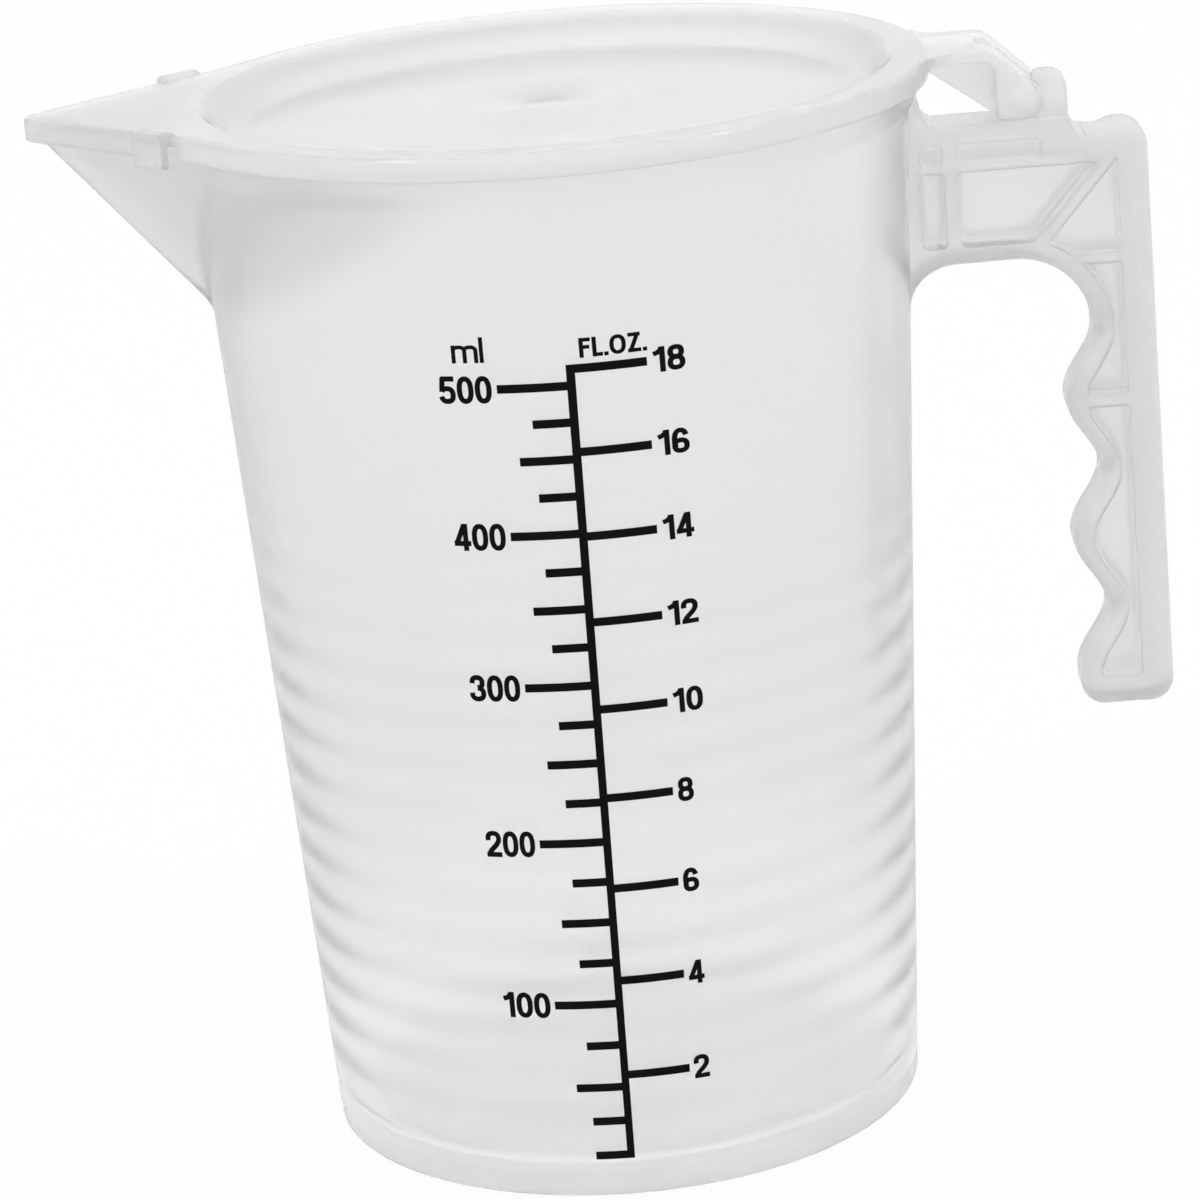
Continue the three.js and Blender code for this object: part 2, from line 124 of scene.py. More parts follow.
class CupSizes(bpy.types.PropertyGroup):
    """Sizes of the cup and its spout"""

    base_radius: length("Base radius", "Radius of the cup at the worktop", 0.038)
    slope: share("Wall slope", "Growth of the radius with height", 0.053)
    wall: length("Wall", "Thickness of the wall", 0.0015)
    floor: length("Floor", "Thickness of the floor", 0.00335)
    height: length("Height", "Height of the rim", 0.1329)
    collar_height: length("Collar height", "Height of the collar below the rim", 0.0058)
    collar_step: length("Collar step", "How far the collar stands out from the wall", 0.001)
    spout_angle: angle("Spout angle", "Half angle of the spout in plan", 43.5)
    spout_line: length("Spout line", "Distance from the axis to the side of the spout", 0.04434)
    ripple_pitch: length("Ripple pitch", "Spacing of the faint rings inside the wall", 0.00575)
    ripple_depth: length("Ripple depth", "Height of the faint rings inside the wall", 0.0003)


class HandleSizes(bpy.types.PropertyGroup):
    """Sizes of the handle and its hook"""

    width: length("Width", "Width of the handle", 0.0092)
    web: length("Web", "Thickness of the web between the ribs", 0.005)
    step: length("Step", "Depth of the hollows above the shelf", 0.0008)
    deck_drop: length("Deck drop", "From the rim down to the top of the arm", 0.0082)
    arm_depth: length("Arm depth", "Height of the arm", 0.0174)
    grip_reach: length("Grip reach", "From the collar to the back of the grip", 0.02785)
    grip_length: length("Grip length", "Length of the grip below the arm", 0.0593)
    grip_thickness: length("Grip thickness", "Thickness of the grip at a hollow", 0.0079)
    wave_depth: length("Wave depth", "Depth of the finger hollows", 0.0039)
    wave_pitch: length("Wave pitch", "Spacing of the finger hollows", 0.0182)
    edge_round: length("Edge round", "Round along the edges of the grip", 0.0022)


class LidSizes(bpy.types.PropertyGroup):
    """Sizes of the lid"""

    clearance: length("Clearance", "Gap between lid and jug", 0.0003)
    plate: length("Plate", "Thickness of the lid", 0.0013)
    wall: length("Skirt wall", "Thickness of the skirt", 0.0012)
    skirt_depth: length("Skirt depth", "Depth of the skirt below the plate", 0.00175)
    dish_depth: length("Dish depth", "Depth of the dished top", 0.0038)
    dish_run: length("Dish run", "Width of the sloping side of the dish", 0.0062)
    clip_length: length("Clip length", "Length of a snap clip", 0.0052)
    tongue_width: length("Tongue width", "Width of the hinge tongue", 0.016)
    gate_radius: length("Gate radius", "Radius of the moulding mark in the middle", 0.003)


class HingeSizes(bpy.types.PropertyGroup):
    """Sizes of the snap hinge"""

    reach: length("Reach", "From the collar to the hinge axis", 0.013)
    rise: length("Rise", "From the deck up to the hinge axis", 0.0032)
    bar_radius: length("Bar radius", "Radius of the hinge bar", 0.0015)
    knuckle_radius: length("Knuckle radius", "Radius of the knuckles beside the hook", 0.002)
    hook_width: length("Hook width", "Width of the hook", 0.0035)
    hook_thickness: length("Hook thickness", "Thickness of the hook behind the bar", 0.0037)


class PrintSizes(bpy.types.PropertyGroup):
    """Sizes of the printed scale"""

    lean: angle("Lean", "Lean of the spine towards the handle", 0.48)
    shift: length("Shift", "Distance of the spine from the middle, at half height", 0.00093)
    line: length("Line", "Thickness of the spine and the marks", 0.00105)
    hundred_mark: length("Hundred mark", "Length of a mark at full hundreds", 0.0088)
    fifty_mark: length("Fifty mark", "Length of a mark at fifties", 0.00685)
    small_mark: length("Small mark", "Length of the other marks", 0.00495)
    ounce_mark: length("Ounce mark", "Length of a fluid ounce mark", 0.0090)
    figure_height: length("Figure height", "Height of the millilitre figures", 0.0034)
    ounce_height: length("Ounce figure height", "Height of the fluid ounce figures", 0.0031)


class JugLook(bpy.types.PropertyGroup):
    """Colours and finish"""

    plastic: colour("Plastic", "Colour of the milky plastic", (0.94, 0.94, 0.94, 1.0))
    # Painted shade: the darker colour in the rings stands in for the shading of the ripples inside the wall
    ring: colour("Ring", "Colour of the plastic in the rings of the wall", (0.88, 0.88, 0.88, 1.0))
    # Painted light: this lighter colour lifts the shade on the wall's foot and beside the handle's root
    clear: colour("Clear plastic", "Colour of the wall at the foot and the handle", (0.99, 0.99, 0.99, 1.0))
    # Painted shade: the darker colour on the wall beside the spout's root
    root: colour("Spout root", "Colour of the wall beside the spout", (0.81, 0.81, 0.81, 1.0))
    # Painted shade: the darker colour on the collar and the spout
    proud: colour("Rim and spout", "Colour of the plastic in the collar and the spout", (0.9, 0.9, 0.9, 1.0))
    panel: colour("Panel", "Colour of the thin panels of the handle", (0.94, 0.94, 0.94, 1.0))
    # Painted shade: the darker colour of the handle's ribs and flanges, where less light passes through
    thick: colour("Thick plastic", "Colour of the handle's ribs and flanges", (0.8, 0.8, 0.8, 1.0))
    cover: colour("Lid", "Colour of the lid", (1.0, 1.0, 1.0, 1.0))
    # Painted shade: the darker colour of the lid's beak
    beak: colour("Beak", "Colour of the lid's beak", (0.9, 0.9, 0.9, 1.0))
    clearness: share("Clearness", "Share of the light that passes through the jug", 0.92)
    handle_clearness: share("Handle clearness", "Share of the light that passes through the handle", 0.58)
    lid_clearness: share("Lid clearness", "Share of the light that passes through the lid", 0.68)
    bending: bpy.props.FloatProperty(
        name="Bending", description="Refraction index of the plastic", default=1.2, min=1.0
    )
    gloss: share("Roughness", "Roughness of the jug's outside", 0.26)
    inside_gloss: share("Inside roughness", "Roughness of the jug's inside", 0.12)
    lid_gloss: share("Lid roughness", "Roughness of the lid", 0.6)
    depth: length("Light depth", "How far light spreads inside the handle", 0.006)
    proud_gloss: share("Rim roughness", "Roughness of the collar, the spout and the handle", 0.5)
    base_gloss: share("Base roughness", "Roughness of the frosted base", 0.9)
    ink: colour("Ink", "Colour of the print", (0.006, 0.006, 0.0065, 1.0))


class StageLook(bpy.types.PropertyGroup):
    """Floor and light"""

    floor: colour("Floor", "Colour of the floor", (0.92, 0.92, 0.92, 1.0))
    world: bpy.props.FloatProperty(
        name="World", description="Strength of the light from all around", default=0.92, min=0.0
    )
    key: bpy.props.FloatProperty(
        name="Key", description="Power of the main lamp", default=1.5, min=0.0, subtype="POWER", unit="POWER"
    )


# Shared measures
def cup():
    return bpy.context.scene.jug_cup


def handle():
    return bpy.context.scene.jug_handle


def lid():
    return bpy.context.scene.jug_lid


def hinge():
    return bpy.context.scene.jug_hinge


def wall_radius(z):
    return cup().base_radius + cup().slope * z


def collar_radius():
    return wall_radius(cup().height) + cup().collar_step


def collar_bottom():
    return cup().height - cup().collar_height


def collared_radius(z):
    """Radius of the wall and, above it, the collar that it eases into."""
    rise = np.clip((z - collar_bottom()) / COLLAR_EASE, 0.0, 1.0)
    rise = rise * rise * (3.0 - 2.0 * rise)
    return wall_radius(z) + rise * (collar_radius() - wall_radius(z))


def deck_z():
    return cup().height - handle().deck_drop


def under_z():
    return deck_z() - handle().arm_depth


def back_x():
    return collar_radius() + handle().grip_reach


def pivot():
    return Vector((collar_radius() + hinge().reach, 0.0, deck_z() + hinge().rise))


def lid_under():
    return cup().height + lid().clearance


def lid_top():
    return lid_under() + lid().plate


def skirt_bottom():
    return lid_under() - lid().skirt_depth


def skirt_inner():
    return collar_radius() + lid().clearance


def skirt_outer():
    return skirt_inner() + lid().wall


# Drawing by hand
def clear_selection():
    """Leaves edit mode and deselects everything."""
    if bpy.context.object and bpy.context.object.mode != "OBJECT":
        bpy.ops.object.mode_set(mode="OBJECT")
    bpy.ops.object.select_all(action="DESELECT")


def pick(piece):
    clear_selection()
    piece.select_set(True)
    bpy.context.view_layer.objects.active = piece


def edit_all(piece):
    pick(piece)
    bpy.ops.object.mode_set(mode="EDIT")
    bpy.ops.mesh.select_mode(type="VERT")
    bpy.ops.mesh.select_all(action="SELECT")


def leave_clean():
    """Merges doubles, turns the faces outwards and goes back to object mode."""
    bpy.ops.mesh.select_all(action="SELECT")
    bpy.ops.mesh.remove_doubles(threshold=TINY)
    bpy.ops.mesh.normals_make_consistent(inside=False)
    bpy.ops.object.mode_set(mode="OBJECT")


def draw_chain(name, points):
    """Draws a line of edges from one vertex, and stays in edit mode."""
    clear_selection()
    bpy.ops.mesh.primitive_plane_add(size=MM, location=(0.0, 0.0, 0.0))
    piece = bpy.context.object
    piece.name = name
    bpy.ops.object.mode_set(mode="EDIT")
    bpy.ops.mesh.select_mode(type="VERT")
    bpy.ops.mesh.select_all(action="SELECT")
    bpy.ops.mesh.merge(type="CENTER")
    bpy.ops.transform.translate(value=points[0])
    for start, end in zip(points, points[1:]):
        step = Vector(end) - Vector(start)
        bpy.ops.mesh.extrude_vertices_move(TRANSFORM_OT_translate={"value": step})
    return piece


def spun(name, profile, steps=ROUND_STEPS):
    """A turned solid from radius and height pairs."""
    piece = draw_chain(name, [(radius, 0.0, z) for radius, z in profile])
    bpy.ops.mesh.select_all(action="SELECT")
    bpy.ops.mesh.spin(steps=steps, angle=math.tau, center=(0.0, 0.0, 0.0), axis=(0.0, 0.0, 1.0))
    leave_clean()
    return piece


def prism(name, outline, run):
    """A closed outline filled and extruded along run."""
    piece = draw_chain(name, [*outline, outline[0]])
    bpy.ops.mesh.select_all(action="SELECT")
    bpy.ops.mesh.remove_doubles(threshold=TINY)
    bpy.ops.mesh.edge_face_add()
    bpy.ops.mesh.extrude_region_move(TRANSFORM_OT_translate={"value": run})
    leave_clean()
    return piece


def side_prism(name, outline, from_y, to_y):
    """An outline of X and Z pairs that runs across the jug."""
    return prism(name, [(x, from_y, z) for x, z in outline], (0.0, to_y - from_y, 0.0))


def combine(piece, tool, operation, overlapping=False):
    """Joins, cuts or intersects piece with tool, which is used up."""
    pick(piece)
    bpy.ops.object.modifier_add(type="BOOLEAN")
    modifier = piece.modifiers[-1]
    modifier.operation = operation
    modifier.solver = "EXACT"
    modifier.use_self = overlapping
    modifier.material_mode = "TRANSFER"
    modifier.object = tool
    bpy.ops.object.modifier_apply(modifier=modifier.name)
    bpy.data.objects.remove(tool)
    if not piece.data.polygons:
        raise RuntimeError(f"{piece.name} has no faces left")
    return piece


def join(name, pieces):
    """Several meshes as one object."""
    clear_selection()
    for piece in pieces:
        piece.select_set(True)
    bpy.context.view_layer.objects.active = pieces[0]
    bpy.ops.object.join()
    joined = bpy.context.object
    joined.name = name
    return joined


def soften(piece, width, segments, degrees=SHARP_ANGLE):
    """Rounds every edge that is sharper than an angle."""
    pick(piece)
    bpy.ops.object.modifier_add(type="BEVEL")
    modifier = piece.modifiers[-1]
    modifier.width = width
    modifier.segments = segments
    modifier.limit_method = "ANGLE"
    modifier.angle_limit = math.radians(degrees)
    modifier.use_clamp_overlap = True
    bpy.ops.object.modifier_apply(modifier=modifier.name)


def inward_normals(outline):
    """Unit normals that point into an outline drawn against the clock."""
    points = np.array(outline)
    ahead = np.roll(points, -1, axis=0) - points
    ahead /= np.linalg.norm(ahead, axis=1)[:, None]
    mean = ahead + np.roll(ahead, 1, axis=0)
    mean /= np.linalg.norm(mean, axis=1)[:, None]
    return np.column_stack((-mean[:, 1], mean[:, 0]))


def rounded_plate(name, outline, half, rounds):
    """An outline of X and Z pairs across the jug, with its two edges rounded by a radius for each point."""
    layers = EDGE_STEPS + 1
    piece = side_prism(name, outline, -half, -half + MM)
    edit_all(piece)
    bpy.ops.mesh.select_all(action="DESELECT")
    bpy.ops.object.mode_set(mode="OBJECT")
    for face in piece.data.polygons:
        face.select = face.normal.y > FACING
    bpy.ops.object.mode_set(mode="EDIT")
    bpy.ops.mesh.select_mode(type="FACE")
    for _ in range(2 * layers - 2):
        bpy.ops.mesh.extrude_region_move(TRANSFORM_OT_translate={"value": (0.0, MM, 0.0)})
    bpy.ops.object.mode_set(mode="OBJECT")
    points = vertex_array(piece)
    layer = np.rint((points[:, 1] + half) / MM).astype(int)
    flat = np.array(outline)
    gaps = (points[:, None, 0] - flat[None, :, 0]) ** 2 + (points[:, None, 2] - flat[None, :, 1]) ** 2
    corner = gaps.argmin(1)
    depth = np.minimum(layer, 2 * layers - 1 - layer)
    sweep = (1.0 - depth / (layers - 1)) * math.pi / 2.0
    radius = np.array(rounds)[corner]
    inset = radius * (1.0 - np.cos(sweep))
    y = half - radius * (1.0 - np.sin(sweep))
    moved = flat[corner] + inward_normals(outline)[corner] * inset[:, None]
    y = np.where(layer < layers, -y, y)
    place_vertices(piece, np.column_stack((moved[:, 0], y, moved[:, 1])))
    edit_all(piece)
    leave_clean()
    return piece


def vertex_array(piece):
    flat = np.empty(len(piece.data.vertices) * 3)
    piece.data.vertices.foreach_get("co", flat)
    return flat.reshape(-1, 3)


def place_vertices(piece, points):
    piece.data.vertices.foreach_set("co", points.ravel())
    piece.data.update()


def shade(piece):
    pick(piece)
    bpy.ops.object.shade_smooth_by_angle(angle=math.radians(SMOOTH_ANGLE))


def arc(x, z, radius, start, end, steps=ARC_STEPS):
    """Points along an arc, angles in degrees."""
    turns = np.radians(np.linspace(start, end, steps + 1))
    return [(x + radius * math.cos(t), z + radius * math.sin(t)) for t in turns]


def bezier(a, b, c, d, steps=CURVE_STEPS):
    """Points along a cubic curve."""
    points = []
    for t in np.linspace(0.0, 1.0, steps + 1):
        s = 1.0 - t
        mix = (s**3, 3 * s * s * t, 3 * s * t * t, t**3)
        points.append(tuple(sum(m * p[i] for m, p in zip(mix, (a, b, c, d))) for i in range(2)))
    return points


def levels(start, end, step):
    """Even heights from start to end, about a step apart."""
    count = max(1, round(abs(end - start) / step))
    return np.linspace(start, end, count + 1)


# The spout and the beak
def crowd_towards_spout(points):
    """Moves a turned mesh's columns closer together where the spout is."""
    turn = np.arctan2(points[:, 1], -points[:, 0])
    radius = np.hypot(points[:, 0], points[:, 1])
    turn = turn - SPOUT_CROWDING * np.sin(turn)
    return radius, turn


def from_polar(radius, turn, z):
    return np.column_stack((-radius * np.cos(turn), radius * np.sin(turn), z))


def blend_out(a, b, softness):
    """The larger of two radii, with a soft hollow where they meet."""
    near = np.clip(softness - np.abs(a - b), 0.0, None) / softness
    return np.maximum(a, b) + near * near * softness / 4.0


def wedge_radius(turn, line, nose):
    """Distance from the axis to the sides of the spout's wedge."""
    soft_turn = np.sqrt(turn * turn + nose * nose)
    return line / np.sin(np.minimum(cup().spout_angle + soft_turn, math.pi / 2))


def cup_profile():
    """The cup in section, from the middle of the base over the rim to the middle of the floor."""
    base, wall, height = cup().base_radius, cup().wall, cup().height
    collar, bottom = collar_radius(), collar_bottom()
    eased = bottom + COLLAR_EASE
    outer = [(0.0, 0.0), (base * HALFWAY, 0.0)]
    outer += arc(base - FOOT_ROUND, FOOT_ROUND, FOOT_ROUND, -90.0, 0.0)
    outer += [(wall_radius(z), z) for z in levels(WALL_START, SPOUT_ZONE, WALL_STEP)]
    outer += [(wall_radius(z), z) for z in levels(SPOUT_ZONE, bottom, RING_PITCH)[1:]]
    outer += [(collared_radius(z), z) for z in levels(bottom, eased, COLLAR_EASE / ARC_STEPS)[1:]]
    outer += [(collar, z) for z in levels(eased, height - RIM_ROUND, RING_PITCH)[1:]]
    outer += arc(collar - RIM_ROUND, height - RIM_ROUND, RIM_ROUND, 0.0, 90.0, RIM_STEPS)[1:]
    inner_rim = wall_radius(height) - wall
    inner = arc(inner_rim + RIM_ROUND, height - RIM_ROUND, RIM_ROUND, 90.0, 180.0, RIM_STEPS)
    inner += [(wall_radius(z) - wall, z) for z in levels(height - RIM_ROUND, RIPPLE_NONE, RING_PITCH)[1:]]
    corner_z = cup().floor + FLOOR_ROUND
    for z in levels(RIPPLE_NONE, corner_z, RIPPLE_STEP)[1:-1]:
        fade = min(1.0, (RIPPLE_NONE - z) / (RIPPLE_NONE - RIPPLE_FULL)) ** 2
        wave = 0.5 - 0.5 * math.cos(math.tau * (z - corner_z) / cup().ripple_pitch)
        inner.append((wall_radius(z) - wall - cup().ripple_depth * fade * wave, z))
    corner_x = wall_radius(corner_z) - wall - FLOOR_ROUND
    inner += arc(corner_x, corner_z, FLOOR_ROUND, 0.0, -90.0)
    inner += [(corner_x * HALFWAY, cup().floor), (0.0, cup().floor)]
    return outer + inner


def pull_spout(piece):
    """Pulls the front of the turned cup out into the spout."""
    points = vertex_array(piece)
    radius, turn = crowd_towards_spout(points)
    z = points[:, 2]
    wall = cup().wall
    plain_outer = wall_radius(z)
    collared = collared_radius(z)
    inner = plain_outer - wall
    drop = np.minimum(0.0, z - (cup().height - SPOUT_LIP))
    spout_out = wedge_radius(turn, cup().spout_line + SPOUT_FALL_OUT * drop, NOSE_OUT)
    spout_in = wedge_radius(turn, cup().spout_line - wall + SPOUT_FALL_IN * drop, NOSE_IN)
    moved_out = radius + blend_out(collared, spout_out, SPOUT_BLEND) - collared
    moved_in = radius + blend_out(inner, spout_in, SPOUT_BLEND) - inner
    is_outer = radius > (collared + inner) / 2.0
    moved = np.where(is_outer, moved_out, moved_in)
    radius = np.where(z > SPOUT_ZONE, moved, radius)
    place_vertices(piece, from_polar(radius, turn, z))


# The handle
GRIP_FILLET = 9.8 * MM
ARM_FILLET = 5.5 * MM
GRIP_ROUND = 3.0 * MM
THUMB_ROUND = 3.0 * MM
THUMB_DROP = 1.3 * MM
SADDLE_DROP = 2.3 * MM
SADDLE_SETBACK = 7.1 * MM
DECK_FILLET = 2.0 * MM
DECK_FILLET_RISE = 3.2 * MM
FINGER_HOLLOWS = 3
RIB = 1.6 * MM
POCKET_ROUND = 0.9 * MM
SHELF_DROP = 4.9 * MM
BACK_STEP = 10.0 * MM

# Flanges, ribs and the brace of the handle
RIB_PLACE = 2.4 * MM
TOP_FLANGE = 2.0 * MM
ARM_FLANGE = 2.1 * MM
SPINE = 4.0 * MM
BRACE_PLACE = 14.0 * MM
BRACE_ANGLE = 48.3
GRIP_FLANGE = 2.5 * MM
HEEL_RIB = 1.2 * MM
HEEL_STEPS = 3
END_FLANGE = 4.0 * MM
POCKET_STEPS = 4
CUT_THROUGH = 2.0 * MM

# The hook
BORE_GAP = 0.1 * MM
HOOK_FRONT = 3.4 * MM
HOOK_RISE = 2.4 * MM
HOOK_FOOT = 2.0 * MM
HOOK_ROUND = 2.0 * MM
HOOK_LIP = 1.6 * MM
HOOK_EDGE = 0.3 * MM
HOOK_EDGE_STEPS = 2
LIP_ANGLE = 55.0
MOUTH_ANGLE = -135.0

# Where the round of the handle's edge begins and how fast it grows
ARM_EDGE = 0.7 * MM
ARM_EDGE_SLOPE = 0.5
HOOK_CLEAR = 1.8 * MM
HOOK_FADE = 2.0 * MM
THUMB_START = 2.5 * MM
THUMB_FADE = 4.0 * MM
GRIP_START = 8.0 * MM
GRIP_FADE = 8.0 * MM


def hook_bore():
    return hinge().bar_radius + BORE_GAP


def hook_back():
    return pivot().x + hook_bore() + hinge().hook_thickness


def grip_x():
    return back_x() - handle().grip_thickness


def grip_edge(z, inset):
    """The wavy front of the grip at a height, set back by an inset."""
    phase = math.tau * (under_z() - GRIP_FILLET - z) / handle().wave_pitch
    return grip_x() + inset - handle().wave_depth * (1.0 - math.cos(phase)) / 2.0


def grip_edge_points(start, end, inset):
    step = handle().wave_pitch / WAVE_STEPS
    return [(grip_edge(z, inset), z) for z in levels(start, end, step)]


def handle_outline():
    """The handle from the side, drawn against the clock from the foot of the arm."""
    half = handle().width / 2.0
    fillet_z = under_z() - ARM_FILLET
    root = math.sqrt(wall_radius(fillet_z) ** 2 - half**2)
    collar = math.sqrt(collar_radius() ** 2 - half**2)
    crown_z = deck_z() + DECK_FILLET_RISE
    bite = cup().wall / 2.0
    crown_root = math.sqrt(wall_radius(crown_z) ** 2 - half**2) - bite
    grip_bottom = under_z() - handle().grip_length
    last_crest = under_z() - GRIP_FILLET - (FINGER_HOLLOWS - 0.5) * handle().wave_pitch
    crest_x = grip_x() - handle().wave_depth
    back = back_x()
    thumb = (back - THUMB_ROUND, deck_z() - THUMB_DROP)
    saddle = (back - SADDLE_SETBACK, deck_z() - SADDLE_DROP)
    ease = (thumb[0] - saddle[0]) / 2.0
    points = [(root - bite, fillet_z)]
    points += arc(root + ARM_FILLET, fillet_z, ARM_FILLET, 180.0, 90.0)
    points += arc(grip_x() - GRIP_FILLET, under_z() - GRIP_FILLET, GRIP_FILLET, 90.0, 0.0, CURVE_STEPS)
    points += grip_edge_points(under_z() - GRIP_FILLET, last_crest, 0.0)[1:]
    points += arc(crest_x + GRIP_ROUND, grip_bottom + GRIP_ROUND, GRIP_ROUND, 180.0, 270.0)
    points += arc(back - GRIP_ROUND, grip_bottom + GRIP_ROUND, GRIP_ROUND, -90.0, 0.0)
    points += [(back, z) for z in levels(grip_bottom + 2 * GRIP_ROUND, thumb[1] - 2 * THUMB_ROUND, BACK_STEP)]
    points += arc(thumb[0], thumb[1] - THUMB_ROUND, THUMB_ROUND, 0.0, 90.0)
    points += bezier(thumb, (thumb[0] - ease, thumb[1]), (saddle[0] + ease, saddle[1]), saddle)[1:]
    corner = (hook_back(), saddle[1])
    lift = (hook_back(), deck_z())
    first = tuple(s + (c - s) * 2 / 3 for s, c in zip(saddle, corner))
    second = tuple(e + (c - e) * 2 / 3 for e, c in zip(lift, corner))
    points += bezier(saddle, first, second, lift)[1:]
    for t in np.radians(np.linspace(270.0, 180.0, ARC_STEPS + 1)):
        x = collar + DECK_FILLET + DECK_FILLET * math.cos(t)
        points.append((x, crown_z + DECK_FILLET_RISE * math.sin(t)))
    points.append((crown_root, crown_z))
    return points


def handle_pockets():
    """The hollows that leave flanges and ribs on a thin web."""
    collar = collar_radius()
    left = collar - cup().wall / 2.0
    rib_left = collar + RIB_PLACE
    rib_right = rib_left + RIB
    top = deck_z() - TOP_FLANGE
    shelf_top = deck_z() - SHELF_DROP
    shelf = shelf_top - RIB / 2.0
    bottom = under_z() + ARM_FLANGE
    spine_x = back_x() - SPINE
    brace = math.radians(BRACE_ANGLE)
    lean = 1.0 / math.tan(brace)
    brace_side = RIB / 2.0 / math.sin(brace)
    brace_foot = collar + BRACE_PLACE
    brace_head = brace_foot + (shelf - bottom) * lean
    hook_front = pivot().x + hook_bore()
    brace_top = bottom + (spine_x - brace_foot - brace_side) / lean
    flange_radius = GRIP_FILLET + GRIP_FLANGE
    centre = (grip_x() - GRIP_FILLET, under_z() - GRIP_FILLET)
    heel_end = math.degrees(math.acos(min(1.0, (brace_foot + brace_side - centre[0]) / flange_radius)))
    heel_start = math.degrees(math.asin(GRIP_FILLET / flange_radius))
    heel = arc(*centre, flange_radius, heel_end, heel_start, HEEL_STEPS)
    crest_z = centre[1] - handle().wave_pitch / 2.0
    upper_top = under_z() - HEEL_RIB
    upper_start = math.degrees(math.asin((upper_top - centre[1]) / flange_radius))
    cross_top = crest_z + RIB / 2.0
    cross_bottom = crest_z - RIB / 2.0
    end = under_z() - handle().grip_length + END_FLANGE
    return [
        [(left, shelf_top), (rib_left, shelf_top), (rib_left, top), (left, top)],
        [(left, bottom), (rib_left, bottom), (rib_left, shelf), (left, shelf)],
        [(rib_right, shelf_top), (hook_front, shelf_top), (hook_front, top), (rib_right, top)],
        [
            (rib_right, bottom),
            (brace_foot - brace_side, bottom),
            (brace_head - brace_side, shelf),
            (rib_right, shelf),
        ],
        [(spine_x, under_z()), (spine_x, brace_top), (brace_foot + brace_side, bottom), *heel],
        [
            (spine_x, cross_top),
            (spine_x, upper_top),
            *arc(*centre, flange_radius, upper_start, 0.0),
            *grip_edge_points(centre[1], cross_top, GRIP_FLANGE)[1:],
        ],
        [(spine_x, end), (spine_x, cross_bottom), *grip_edge_points(cross_bottom, end, GRIP_FLANGE)],
    ]


def hook_outline():
    """The hook from the side, open towards the lid and downwards."""
    axis = pivot()
    bore = hook_bore()
    left = axis.x - HOOK_FRONT
    right = hook_back()
    top = axis.z + HOOK_RISE
    foot = deck_z() - HOOK_FOOT
    mouth = Vector((math.cos(math.radians(MOUTH_ANGLE)), math.sin(math.radians(MOUTH_ANGLE)))) * bore
    points = [(left, foot), (right, foot)]
    points += arc(right - HOOK_ROUND, top - HOOK_ROUND, HOOK_ROUND, 0.0, 90.0)
    points += [(axis.x + HOOK_LIP, top)]
    points += arc(axis.x, axis.z, bore, LIP_ANGLE, MOUTH_ANGLE, CURVE_STEPS)
    points += [(left, axis.z + mouth.y - (left - axis.x - mouth.x))]
    return points


def edge_round_at(x, z):
    """Round of the handle's edge: slim on the arm, none at the hook, full on thumb rest and grip."""
    out = x - collar_radius()
    slim = max(0.0, min(ARM_EDGE, ARM_EDGE_SLOPE * (out - MM)))
    if z > under_z() + MM:
        from_hook = abs(x - hook_back()) - HOOK_CLEAR
        slim *= min(1.0, max(0.0, from_hook / HOOK_FADE))
        grown = (x - hook_back() - THUMB_START) / THUMB_FADE
    else:
        grown = (out - GRIP_START) / GRIP_FADE
    return slim + (handle().edge_round - slim) * min(1.0, max(0.0, grown))


def model_handle():
    """The handle with its hollows on both sides and its hook."""
    half = handle().width / 2.0
    outline = handle_outline()
    piece = rounded_plate("handle", outline, half, [edge_round_at(x, z) for x, z in outline])
    cutters = []
    for number, outline in enumerate(handle_pockets()):
        for side in (-1.0, 1.0):
            is_shallow = min(z for _, z in outline) > deck_z() - SHELF_DROP - MM
            near = side * (half - handle().step if is_shallow else handle().web / 2.0)
            cutter = side_prism(f"pocket_{number}", outline, near, side * (half + CUT_THROUGH))
            soften(cutter, POCKET_ROUND, POCKET_STEPS)
            cutters.append(cutter)
    combine(piece, join("pockets", cutters), "DIFFERENCE")
    hook = side_prism("hook", hook_outline(), -hinge().hook_width / 2.0, hinge().hook_width / 2.0)
    soften(hook, HOOK_EDGE, HOOK_EDGE_STEPS)
    return combine(piece, hook, "UNION")


# The lid
CHEEK_REACH = 3.85 * MM
CHEEK_WALL = 1.5 * MM
CLIP_CENTRE = 47.0 * MM
CLIP_GAP = 0.7 * MM
CLIP_NEAR = 0.4 * MM
CLIP_FAR = 1.8 * MM
CLIP_DROP = 0.9 * MM
CLIP_SHOULDER = 0.3 * MM
CLIP_CROWN = 0.85 * MM
CLIP_TOE = 0.5 * MM
GATE_RISE = 0.12 * MM
GATE_RUN = 0.6 * MM
HAIR = 0.02 * MM
CLIP_EDGE = 0.3 * MM
CLIP_EDGE_STEPS = 3
CLIP_SHARP = 60.0

# The lid in section
DISH_BROW = 1.55 * MM
DISH_DIP = 0.95 * MM
DISH_EASE = 4.1 * MM
DISH_SHIFT = 0.5 * MM
BROW_EASE = 0.12 * MM
BROW_DIP = 0.05 * MM
RIM_ROWS = (0.25 * MM, 1.3 * MM, 2.4 * MM)
LID_EDGE_STEPS = 6
BEAK_INSET_OUT = 0.3 * MM
BEAK_INSET_IN = 0.4 * MM

